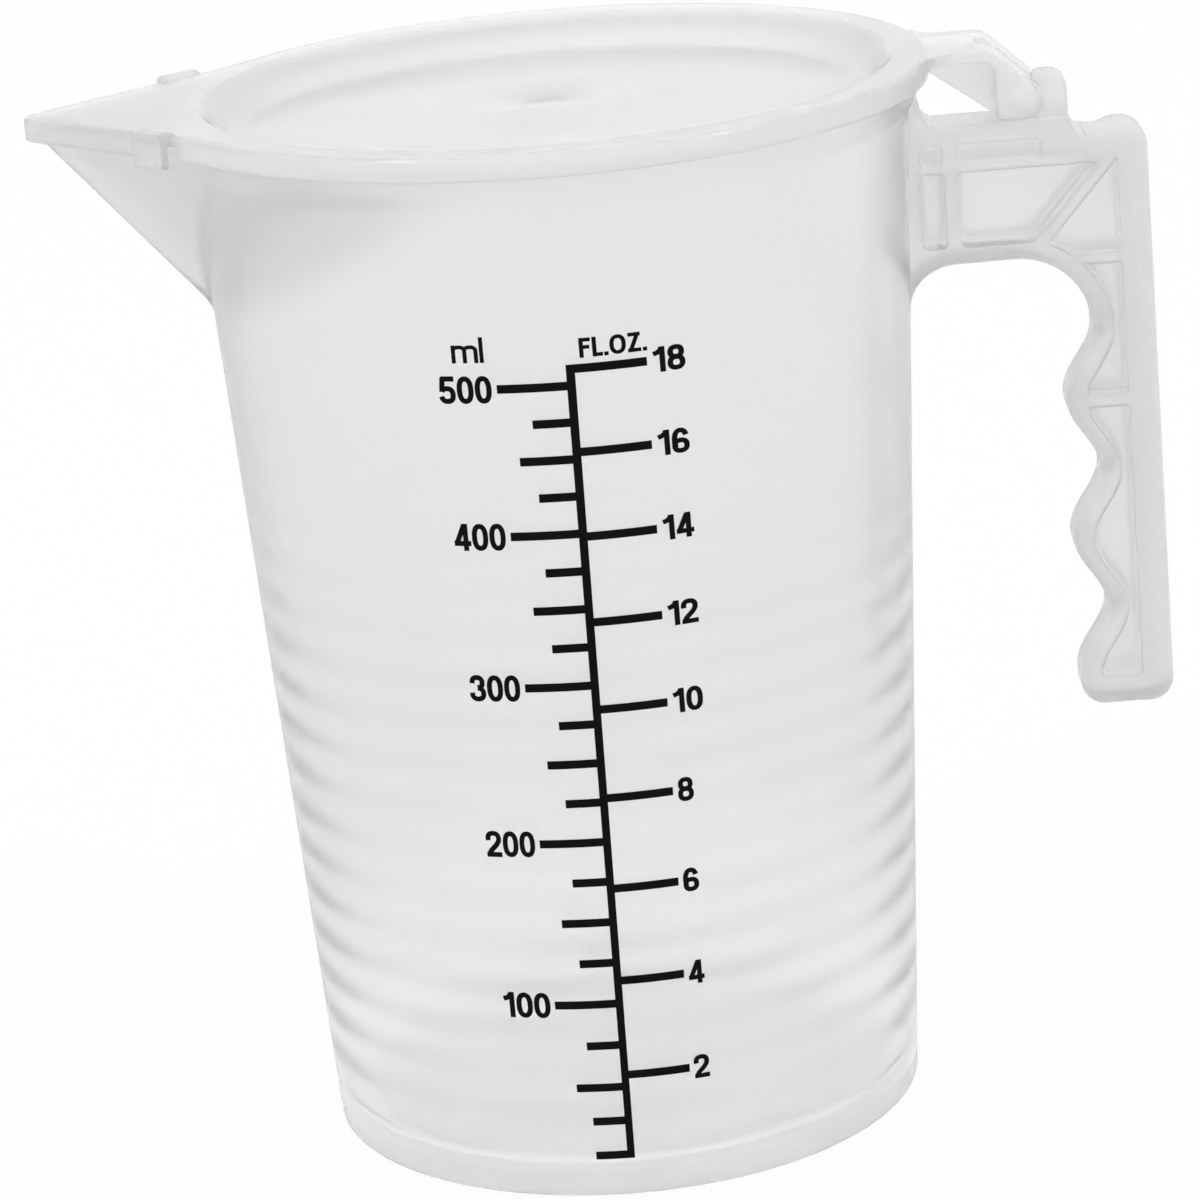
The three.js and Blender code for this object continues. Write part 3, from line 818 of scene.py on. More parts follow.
# The hinge tongue
TONGUE_FALL = 42.4
TONGUE_FILLET = 4.0 * MM
TONGUE_BEND = 2.4 * MM
TONGUE_BITE = 0.9 * MM
TONGUE_EDGE = 0.3 * MM
TONGUE_EDGE_STEPS = 3
TONGUE_SHARP = 50.0
INLAY = 0.004 * MM
GUSSET_BITE = 1.5 * MM
BAR_STEPS = 32
KNUCKLE_EDGE = 0.25 * MM
KNUCKLE_EDGE_STEPS = 2
WEB_FOOT = 0.4 * MM
WEB_BITE = 0.4 * MM
WEB_INLAY = 0.2 * MM
WEB_SETBACK = 3.1 * MM
WEB_WALL = 1.5 * MM
FORK_GAP = 0.3 * MM
CHEEK_EDGE = 0.3 * MM
CHEEK_EDGE_STEPS = 2
SLOT_REACH = 7.7 * MM
SLOT_SPARE = 2.0 * MM


def dish_curve():
    """The sloping side of the dish, from its edge down to its floor."""
    edge = wall_radius(cup().height) - cup().wall - lid().clearance
    floor_z = lid_top() - lid().dish_depth
    return bezier(
        (edge, lid_top()),
        (edge - DISH_BROW, lid_top() - DISH_DIP),
        (edge - lid().dish_run + DISH_EASE, floor_z),
        (edge - lid().dish_run, floor_z),
    )


def lid_profile():
    """The lid in section, from the middle of its top around the skirt to the middle of its underside."""
    upper = dish_curve()
    lower = [(x - DISH_SHIFT, z - lid().plate) for x, z in upper]
    edge, foot = upper[0], upper[-1]
    outer, inner = skirt_outer(), skirt_inner()
    gate = lid().gate_radius
    profile = [(0.0, foot[1] + GATE_RISE), (gate - GATE_RUN, foot[1] + GATE_RISE), (gate, foot[1])]
    profile += [(foot[0] * HALFWAY, foot[1]), *upper[::-1][:-1]]
    profile += [(edge[0] - BROW_EASE, edge[1] - BROW_DIP)]
    profile += [(edge[0] + row, edge[1]) for row in RIM_ROWS]
    corner = (outer - LID_EDGE_ROUND, lid_top() - LID_EDGE_ROUND)
    profile += arc(*corner, LID_EDGE_ROUND, 90.0, 0.0, LID_EDGE_STEPS)
    profile += arc(outer - SKIRT_ROUND, skirt_bottom() + SKIRT_ROUND, SKIRT_ROUND, 0.0, -90.0, RIM_STEPS)
    profile += arc(inner + SKIRT_ROUND, skirt_bottom() + SKIRT_ROUND, SKIRT_ROUND, -90.0, -180.0, RIM_STEPS)
    profile += [(inner, lid_under())]
    profile += [(x, lid_under()) for x in levels(inner, lower[0][0], MM)[1:-1]]
    profile += [*lower, (lower[-1][0] * HALFWAY, lower[-1][1]), (0.0, lower[-1][1])]
    return profile


def pull_beak(piece):
    """Pulls the front of the turned lid out over the spout."""
    points = vertex_array(piece)
    radius, turn = crowd_towards_spout(points)
    z = points[:, 2]
    gap, wall = lid().clearance, lid().wall
    outer, inner = skirt_outer(), skirt_inner()
    edge = dish_curve()[0][0]
    beak_out = wedge_radius(turn, cup().spout_line + gap + wall, NOSE_BEAK)
    beak_in = wedge_radius(turn, cup().spout_line + gap, NOSE_OUT)
    grow_out = blend_out(np.full_like(turn, outer), beak_out, BEAK_BLEND) - outer
    grow_in = blend_out(np.full_like(turn, inner), beak_in, BEAK_BLEND) - inner
    is_outer = (z > lid_under() + lid().plate / 4.0) | (radius > (outer + inner) / 2.0)
    start_out, full_out = edge + BEAK_INSET_OUT, outer - LID_EDGE_ROUND
    start_in = edge - BEAK_INSET_IN
    share_out = np.clip((radius - start_out) / (full_out - start_out), 0.0, 1.0)
    share_in = np.clip((radius - start_in) / (inner - start_in), 0.0, 1.0)
    radius = radius + np.where(is_outer, share_out * grow_out, share_in * grow_in)
    place_vertices(piece, from_polar(radius, turn, z))


def clip_prism(name, side, profile, start, end):
    """A profile of outward distances and heights that runs along one side of the beak."""
    lean = cup().spout_angle
    apex = (cup().spout_line + lid().clearance + lid().wall) / math.sin(lean)
    centre = Vector((-CLIP_CENTRE, side * (apex - CLIP_CENTRE) * math.tan(lean), 0.0))
    along = Vector((math.cos(lean), side * math.sin(lean), 0.0))
    out = Vector((-math.sin(lean), side * math.cos(lean), 0.0))
    points = [centre + along * start + out * b + Vector((0.0, 0.0, z)) for b, z in profile]
    return prism(name, points, along * (end - start))


def clip_profile():
    """A clip in section: a domed bridge over the beak's edge and a tab that hangs outside it."""
    bottom = skirt_bottom() - CLIP_DROP
    middle = (CLIP_FAR - lid().wall) / 2.0
    reach = CLIP_FAR - middle
    shoulder = lid_top() - CLIP_SHOULDER
    points = [(-lid().wall, lid_under() + HAIR), (CLIP_NEAR, lid_under() + HAIR), (CLIP_NEAR, bottom)]
    points += arc(CLIP_FAR - CLIP_TOE, bottom + CLIP_TOE, CLIP_TOE, -90.0, 0.0, RIM_STEPS)
    for t in np.radians(np.linspace(0.0, 180.0, CURVE_STEPS + 1)):
        points.append((middle + reach * math.cos(t), shoulder + CLIP_CROWN * math.sin(t)))
    return points


def add_clips(piece):
    """Cuts the slots and adds the two snap clips at the root of the beak."""
    half = lid().clip_length / 2.0
    bottom = skirt_bottom() - CLIP_DROP
    inner, outer = -lid().wall - lid().clearance / 2.0, CLIP_FAR + CLIP_NEAR
    slot = [(inner, bottom), (outer, bottom), (outer, lid_under()), (inner, lid_under())]
    for side in (-1.0, 1.0):
        gap = clip_prism("gap", side, slot, -half - CLIP_GAP, half + CLIP_GAP)
        combine(piece, gap, "DIFFERENCE")
        tab = clip_prism("clip", side, clip_profile(), -half, half)
        soften(tab, CLIP_EDGE, CLIP_EDGE_STEPS, CLIP_SHARP)
        combine(piece, tab, "UNION")


def tongue_outline(touch, across, bend_x):
    """The tongue from the side: level at the lid, then bent down to the knuckle that it touches."""
    plate = lid().plate
    ease = TONGUE_BEND * math.tan(math.radians(TONGUE_FALL) / 2.0)
    bend = (bend_x - ease, lid_top() - TONGUE_BEND)
    start = skirt_outer() - TONGUE_BITE
    points = [(start, lid_under() + INLAY)]
    points += arc(*bend, TONGUE_BEND - plate, 90.0, 90.0 - TONGUE_FALL)
    points += [tuple(touch - across * plate), tuple(touch)]
    points += arc(*bend, TONGUE_BEND, 90.0 - TONGUE_FALL, 90.0)
    points += [(start, lid_top() - INLAY)]
    return points


def tongue_gusset(half):
    """The flared root that joins the tongue to the lid's rim."""
    root_x = math.sqrt((skirt_outer() + TONGUE_FILLET) ** 2 - (half + TONGUE_FILLET) ** 2)
    sweep = math.degrees(math.atan2(half + TONGUE_FILLET, root_x))
    start = skirt_outer() - TONGUE_BITE - GUSSET_BITE
    under, top = lid_under() + INLAY, lid_top() - 2.0 * INLAY
    flank = arc(root_x, -half - TONGUE_FILLET, TONGUE_FILLET, 180.0 - sweep, 90.0)
    flank += arc(root_x, half + TONGUE_FILLET, TONGUE_FILLET, -90.0, sweep - 180.0)
    flank = [(start, flank[0][1]), *flank, (start, flank[-1][1])]
    return prism("gusset", [(x, y, under) for x, y in flank], (0.0, 0.0, top - under))


def web_outline(bend_x):
    """A web below the tongue, from the lid's skirt to the knuckle."""
    axis, knuckle = pivot(), hinge().knuckle_radius
    inlaid = lid_under() + INLAY + WEB_INLAY
    root_x = skirt_outer() - WEB_BITE
    foot_x = axis.x - knuckle - WEB_SETBACK + math.cos(math.radians(TONGUE_FALL)) * MM
    foot_z = axis.z - knuckle + WEB_FOOT
    return [
        (root_x, inlaid),
        (root_x, lid_under() - lid().plate),
        (foot_x, foot_z),
        (axis.x, foot_z),
        (axis.x, axis.z),
        (bend_x, inlaid),
    ]


def cheek_outline(touch, across):
    """A cheek at the side of the tongue, from its bend down to the deck."""
    axis = pivot()
    plate = lid().plate
    cheek_x = axis.x - CHEEK_REACH
    foot_z = axis.z - hinge().knuckle_radius + HAIR
    knee_z = min(lid_top(), touch.y + (touch.x - cheek_x) * math.tan(math.radians(TONGUE_FALL)))
    return [
        (cheek_x, knee_z - plate / 2.0),
        (cheek_x, foot_z),
        (axis.x, foot_z),
        (axis.x, axis.z),
        tuple(touch - across * plate / 2.0),
    ]


def add_tongue(piece):
    """Adds the hinge tongue with its webs, cheeks, knuckles and bar."""
    fall = math.radians(TONGUE_FALL)
    axis = pivot()
    plate, half = lid().plate, lid().tongue_width / 2.0
    knuckle, bar = hinge().knuckle_radius, hinge().bar_radius
    across = Vector((math.sin(fall), math.cos(fall)))
    touch = Vector((axis.x, axis.z)) + across * knuckle
    bend_x = touch.x - (lid_top() - touch.y) / math.tan(fall)
    fork = hinge().hook_width / 2.0 + FORK_GAP
    tongue = side_prism("tongue", tongue_outline(touch, across, bend_x), -half, half)
    soften(tongue, TONGUE_EDGE, TONGUE_EDGE_STEPS, TONGUE_SHARP)
    combine(tongue, tongue_gusset(half), "UNION")
    roller = side_prism("knuckle", arc(axis.x, axis.z, knuckle, 0.0, 360.0, BAR_STEPS)[:-1], -half, half)
    soften(roller, KNUCKLE_EDGE, KNUCKLE_EDGE_STEPS)
    combine(tongue, roller, "UNION")
    web = web_outline(bend_x - plate * math.tan(fall / 2.0))
    for side in (-1.0, 1.0):
        combine(tongue, side_prism("web", web, side * fork, side * (fork + WEB_WALL)), "UNION")
    cheek = cheek_outline(touch, across)
    for side in (-1.0, 1.0):
        tab = side_prism("cheek", cheek, side * (half - CHEEK_WALL), side * (half - HAIR))
        soften(tab, CHEEK_EDGE, CHEEK_EDGE_STEPS)
        combine(tongue, tab, "UNION")
    front, back = axis.x - SLOT_REACH * math.cos(fall), axis.x + SLOT_REACH
    low, high = axis.z - knuckle - SLOT_SPARE, lid_top() + SLOT_SPARE
    slot = side_prism("slot", [(front, low), (back, low), (back, high), (front, high)], -fork, fork)
    combine(tongue, slot, "DIFFERENCE")
    rod = side_prism("bar", arc(axis.x, axis.z, bar, 0.0, 360.0, BAR_STEPS)[:-1], -half + MM, half - MM)
    combine(tongue, rod, "UNION")
    combine(piece, tongue, "UNION")


# The printed scale
FULL_SCALE = 500
SCALE_STEP = 25
LAST_STEP = 50
LOW_MARKS = (30, 10)
FULL_OUNCES = 18
OUNCE_STEP = 2
OUNCE_VOLUME = 28.413e-6
MILLILITRE = 1e-6
INK_GAP = 0.02 * MM
INK_THICKNESS = 0.08 * MM
PRINT_FRONT = -52.0 * MM
PRINT_DEPTH = 30.0 * MM
SKIN_BOTTOM = 2.5 * MM
SKIN_MARGIN = 2.0 * MM
HUNDRED = 100
FIFTY = 50
TWO_DIGITS = 10

# Widths of the labels, which grow a little with height, and the boxes of the units
LABEL_GAP = 0.62 * MM
FIGURE_GAP = 0.045
VOLUME_WIDTH = 5.75 * MM
VOLUME_GROWTH = 0.005
OUNCE_WIDTH = 3.4 * MM
OUNCE_GROWTH = 0.0045
DIGIT_WIDTH = 1.93 * MM
VOLUME_UNIT_BOX = (-12.57 * MM, -8.74 * MM, 109.15 * MM, 112.3 * MM)
OUNCE_UNIT_BOX = (2.43 * MM, 10.46 * MM, 109.05 * MM, 111.45 * MM)


def printing():
    return bpy.context.scene.jug_print


def level_of(volume):
    """Height of a volume in the jug, in cubic metres."""
    floor_radius = wall_radius(cup().floor) - cup().wall
    cube = floor_radius**3 + 3.0 * cup().slope * volume / math.pi
    return cup().floor + (cube ** (1.0 / 3.0) - floor_radius) / cup().slope


def on_artwork(u, z):
    """A point of the flat artwork, leaned and wrapped so that it narrows with the cup."""
    middle = cup().height / 2.0
    u = u * wall_radius(z) / wall_radius(level_of(FULL_SCALE * MILLILITRE))
    lean = printing().lean
    x = printing().shift + u * math.cos(lean) + (z - middle) * math.sin(lean)
    return x, middle - u * math.sin(lean) + (z - middle) * math.cos(lean)


def mark_length(volume):
    if volume % HUNDRED == 0:
        return printing().hundred_mark
    return printing().fifty_mark if volume % FIFTY == 0 else printing().small_mark


def ladder_outline():
    """The spine with its marks as one outline, down the right side and up the left."""
    half = printing().line / 2.0
    left = [(level_of(v * MILLILITRE), mark_length(v)) for v in range(FULL_SCALE, LAST_STEP - 1, -SCALE_STEP)]
    left += [(level_of(v * MILLILITRE), printing().small_mark) for v in LOW_MARKS]
    right = [
        (level_of(n * OUNCE_VOLUME), printing().ounce_mark) for n in range(FULL_OUNCES, 0, -OUNCE_STEP)
    ]
    top, foot = right[0][0] + half, left[-1][0] - half
    points = [(-half, top)]
    for z, reach in right:
        points += [(half, z + half), (reach, z + half), (reach, z - half), (half, z - half)]
    points.remove((half, top))
    points.append((half, foot))
    for z, reach in left[::-1]:
        points += [(-half, z - half), (-reach, z - half), (-reach, z + half), (-half, z + half)]
    points.remove((-half, foot))
    return [on_artwork(u, z) for u, z in points]


def ink_skin(name):
    """A thin skin around the wall, from which the print is cut."""
    low, high = SKIN_BOTTOM, collar_bottom() - SKIN_MARGIN
    near = [(wall_radius(z) + INK_GAP, z) for z in (low, high)]
    far = [(radius + INK_THICKNESS, z) for radius, z in near]
    return spun(name, [near[0], *far, near[1], near[0]])


def stroke(points, thickness):
    """The outline of a pen stroke along points, with square ends."""
    line = np.array(points)
    ahead = np.gradient(line, axis=0)
    ahead /= np.linalg.norm(ahead, axis=1)[:, None]
    side = np.column_stack((-ahead[:, 1], ahead[:, 0])) * thickness / 2.0
    return [*map(tuple, line - side), *map(tuple, (line + side)[::-1])]


BOW_STEPS = 14
SQUARENESS = 2.4
LEFT_BOW = (80.0, 280.0)
RIGHT_BOW = (-100.0, 100.0)


def bow(x, y, wide, high, start, end):
    """A bowl of a figure, squarer than an ellipse."""
    points = []
    for t in np.radians(np.linspace(start, end, BOW_STEPS + 1)):
        c, d = math.cos(t), math.sin(t)
        across = math.copysign(abs(c) ** (2.0 / SQUARENESS), c)
        up = math.copysign(abs(d) ** (2.0 / SQUARENESS), d)
        points.append((x + wide * across, y + high * up))
    return points


def ring(x, y, wide, high):
    """A closed bowl from two bows that overlap."""
    return [bow(x, y, wide, high, *turn) for turn in (LEFT_BOW, RIGHT_BOW)]


# Each figure's width and its pen strokes, for a height of 1
PEN = 0.185
THIN_PEN = 0.145
FIGURES = {
    "0": (0.585, ring(0.2925, 0.5, 0.2, 0.4075)),
    "1": (0.44, [[(0.33, 0.0), (0.33, 1.0)], [(0.04, 0.735), (0.17, 0.775), (0.27, 0.86), (0.31, 0.97)]]),
    "2": (
        0.585,
        [
            bow(0.285, 0.7, 0.2, 0.2075, 195.0, -15.0)
            + [(0.455, 0.57), (0.385, 0.46), (0.27, 0.34), (0.16, 0.22), (0.105, 0.1), (0.09, 0.02)],
            [(0.01, 0.085), (0.575, 0.085)],
        ],
    ),
    "3": (
        0.585,
        [
            bow(0.2825, 0.715, 0.185, 0.1925, 185.0, -90.0),
            bow(0.2825, 0.3, 0.2075, 0.2075, 90.0, -185.0),
        ],
    ),
    "4": (
        0.6,
        [
            [(0.415, 0.0), (0.415, 1.0)],
            [(0.0, 0.27), (0.6, 0.27)],
            [(0.38, 0.96), (0.08, 0.25)],
        ],
    ),
    "5": (
        0.585,
        [
            [(0.09, 0.91), (0.545, 0.91)],
            [(0.15, 0.95), (0.105, 0.44)],
            bow(0.285, 0.325, 0.205, 0.235, 150.0, -170.0),
        ],
    ),
    "6": (
        0.585,
        [
            *ring(0.2925, 0.3, 0.2, 0.2075),
            bow(0.2925, 0.5, 0.2, 0.4075, 25.0, 215.0),
        ],
    ),
    "8": (0.585, [*ring(0.2925, 0.715, 0.18, 0.1925), *ring(0.2925, 0.3, 0.2, 0.2075)]),
    "F": (0.52, [[(0.115, 0.0), (0.115, 1.0)], [(0.03, 0.9), (0.52, 0.9)], [(0.03, 0.53), (0.47, 0.53)]]),
    "L": (0.47, [[(0.115, 0.0), (0.115, 1.0)], [(0.03, 0.1), (0.47, 0.1)]]),
    "O": (0.72, ring(0.36, 0.5, 0.26, 0.4)),
    "Z": (0.6, [[(0.04, 0.9), (0.57, 0.9)], [(0.46, 0.93), (0.13, 0.07)], [(0.02, 0.1), (0.59, 0.1)]]),
    ".": (0.2, [[(0.1, 0.0), (0.1, 0.19)]]),
    "m": (
        0.94,
        [
            [(0.075, 0.0), (0.075, 0.69)],
            bow(0.2725, 0.46, 0.1975, 0.16, 160.0, 0.0) + [(0.47, 0.3), (0.47, 0.0)],
            bow(0.6675, 0.46, 0.1975, 0.16, 160.0, 0.0) + [(0.865, 0.3), (0.865, 0.0)],
        ],
    ),
    "l": (0.15, [[(0.075, 0.0), (0.075, 1.0)]]),
}


def figure_model(character):
    """One figure at a height of 1, thick enough to reach through the skin."""
    pen = THIN_PEN if character in "ml" else PEN
    strokes = FIGURES[character][1]
    parts = [side_prism("stroke", stroke(points, pen), 0.0, 1.0) for points in strokes]
    return join(f"figure_{ord(character)}", parts)


def set_line(models, text, left, right, bottom, top):
    """Copies of the figures in a row, fitted to a box in front of the wall."""
    widths = [FIGURES[character][0] for character in text]
    scale = (right - left) / (sum(widths) + FIGURE_GAP * (len(text) - 1))
    copies = []
    for character, width in zip(text, widths):
        copy = models[character].copy()
        copy.data = copy.data.copy()
        bpy.context.collection.objects.link(copy)
        size = Matrix.Diagonal((scale, PRINT_DEPTH, top - bottom, 1.0))
        copy.data.transform(Matrix.Translation((left, PRINT_FRONT, bottom)) @ size)
        left += (width + FIGURE_GAP) * scale
        copies.append(copy)
    return copies


def label_at(models, text, u, z, width, height, side):
    """A label whose near edge is at u, to the left (-1) or right (1) of it."""
    x, middle = on_artwork(u, z)
    left = x if side > 0 else x - width
    return set_line(models, text, left, left + width, middle - height / 2.0, middle + height / 2.0)


def model_figures():
    """All the figures and units in front of the wall, as one object."""
    models = {character: figure_model(character) for character in FIGURES}
    labels = []
    for volume in range(FULL_SCALE, 0, -HUNDRED):
        z = level_of(volume * MILLILITRE)
        width = VOLUME_WIDTH + VOLUME_GROWTH * z
        u = -printing().hundred_mark - LABEL_GAP
        labels += label_at(models, str(volume), u, z, width, printing().figure_height, -1.0)
    for ounces in range(FULL_OUNCES, 0, -OUNCE_STEP):
        z = level_of(ounces * OUNCE_VOLUME)
        width = OUNCE_WIDTH + OUNCE_GROWTH * z if ounces >= TWO_DIGITS else DIGIT_WIDTH
        u = printing().ounce_mark + LABEL_GAP
        labels += label_at(models, str(ounces), u, z, width, printing().ounce_height, 1.0)
    labels += set_line(models, "ml", *VOLUME_UNIT_BOX)
    labels += set_line(models, "FL.OZ.", *OUNCE_UNIT_BOX)
    for model in models.values():
        bpy.data.objects.remove(model)
    return join("figures", labels)


# Materials
CLOUD_SCALE = 55.0
GRAIN_SCALE = 1500.0
GRAIN_DEPTH = 0.05 * MM
CLOUD_SHADE = 0.985
PLASTIC_SPREAD = 0.05
PLASTIC_GRAIN = 0.15
COAT = 0.4
LID_COAT = 1.0
COAT_ROUGHNESS = 0.08
EVEN_SPREAD = (1.0, 1.0, 1.0)
INK_SHADE = 0.5
INK_ROUGHNESS = 0.5
INK_SPREAD = 0.1
INK_GRAIN = 0.3
INK_SHINE = 0.04

# Masks for painted shade and painted light: shade in patchy rings, on collar and spout, at the spout root, on
# the beak and on the handle's ribs and arm; light at the foot and at the joint of the handle
PATCH_STRETCH = (1.0, 1.0, 3.0)
PATCH_SCALE = 45.0
PROUD_FADE = 2.0 * MM
# Painted shade on the wall beside the spout's root
ROOT_SHADE_SLANT = 0.6
ROOT_SHADE_LOW = 132.0 * MM
ROOT_SHADE_HIGH = 139.0 * MM
ROOT_SHADE_BACK = 0.0 * MM
ROOT_SHADE_FRONT = -27.0 * MM
# Painted shade on the beak
BEAK_SHADE_START = -41.0 * MM
BEAK_SHADE_FULL = -48.0 * MM
# Painted light at the foot of the wall
FOOT_LIGHT_HIGH = 34.0 * MM
FOOT_LIGHT_LOW = 18.0 * MM
# Painted light on the wall beside the handle's root
JOINT_LIGHT_START = 33.0 * MM
JOINT_LIGHT_FULL = 42.0 * MM
JOINT_LIGHT_LOW = 98.0 * MM
JOINT_LIGHT_HIGH = 106.0 * MM
# Painted shade on the handle: less on the ribs near the cup, some on the panels further out
ARM_SHADE_ROOT = 48.0 * MM
ARM_SHADE_END = 70.0 * MM
ARM_SHADE_SHARE = 0.25
PANEL_SHADE_SHARE = 0.25


def moulded_surface():
    """Slow clouds and a fine grain, as on any moulded or printed surface."""
    name = "moulded_surface"
    if name in bpy.data.node_groups:
        return bpy.data.node_groups[name]
    group = bpy.data.node_groups.new(name, "ShaderNodeTree")
    sockets = group.interface
    for label, kind in (("Colour", "NodeSocketColor"), ("Darker", "NodeSocketColor")):
        sockets.new_socket(label, in_out="INPUT", socket_type=kind)
    for label in ("Cloud Scale", "Grain Scale", "Roughness", "Roughness Spread"):
        sockets.new_socket(label, in_out="INPUT", socket_type="NodeSocketFloat")
    sockets.new_socket("Colour", in_out="OUTPUT", socket_type="NodeSocketColor")
    for label in ("Roughness", "Height"):
        sockets.new_socket(label, in_out="OUTPUT", socket_type="NodeSocketFloat")
    nodes, links = group.nodes, group.links
    given = nodes.new("NodeGroupInput")
    result = nodes.new("NodeGroupOutput")
    coordinates = nodes.new("ShaderNodeTexCoord")
    cloud = nodes.new("ShaderNodeTexNoise")
    grain = nodes.new("ShaderNodeTexNoise")
    tint = nodes.new("ShaderNodeMix")
    tint.data_type = "RGBA"
    spread = nodes.new("ShaderNodeMath")
    spread.operation = "MULTIPLY_ADD"
    links.new(coordinates.outputs["Object"], cloud.inputs["Vector"])
    links.new(coordinates.outputs["Object"], grain.inputs["Vector"])
    links.new(given.outputs["Cloud Scale"], cloud.inputs["Scale"])
    links.new(given.outputs["Grain Scale"], grain.inputs["Scale"])
    links.new(cloud.outputs["Fac"], tint.inputs["Factor"])
    links.new(given.outputs["Colour"], tint.inputs["A"])
    links.new(given.outputs["Darker"], tint.inputs["B"])
    links.new(cloud.outputs["Fac"], spread.inputs[0])
    links.new(given.outputs["Roughness Spread"], spread.inputs[1])
    links.new(given.outputs["Roughness"], spread.inputs[2])
    links.new(tint.outputs["Result"], result.inputs["Colour"])
    links.new(spread.outputs["Value"], result.inputs["Roughness"])
    links.new(grain.outputs["Fac"], result.inputs["Height"])
    return group


def surface_material(name, base, dark, roughness, spread, bump):
    """A Principled material over the shared surface group."""
    material = bpy.data.materials.new(name)
    material.use_nodes = True
    nodes, links = material.node_tree.nodes, material.node_tree.links
    shader = nodes["Principled BSDF"]
    surface = nodes.new("ShaderNodeGroup")
    surface.node_tree = moulded_surface()
    surface.inputs["Colour"].default_value = base
    surface.inputs["Darker"].default_value = dark
    surface.inputs["Cloud Scale"].default_value = CLOUD_SCALE
    surface.inputs["Grain Scale"].default_value = GRAIN_SCALE
    surface.inputs["Roughness"].default_value = roughness
    surface.inputs["Roughness Spread"].default_value = spread
    relief = nodes.new("ShaderNodeBump")
    relief.inputs["Strength"].default_value = bump
    relief.inputs["Distance"].default_value = GRAIN_DEPTH
    links.new(surface.outputs["Colour"], shader.inputs["Base Color"])
    links.new(surface.outputs["Roughness"], shader.inputs["Roughness"])
    links.new(surface.outputs["Height"], relief.inputs["Height"])
    links.new(relief.outputs["Normal"], shader.inputs["Normal"])
    return material, shader


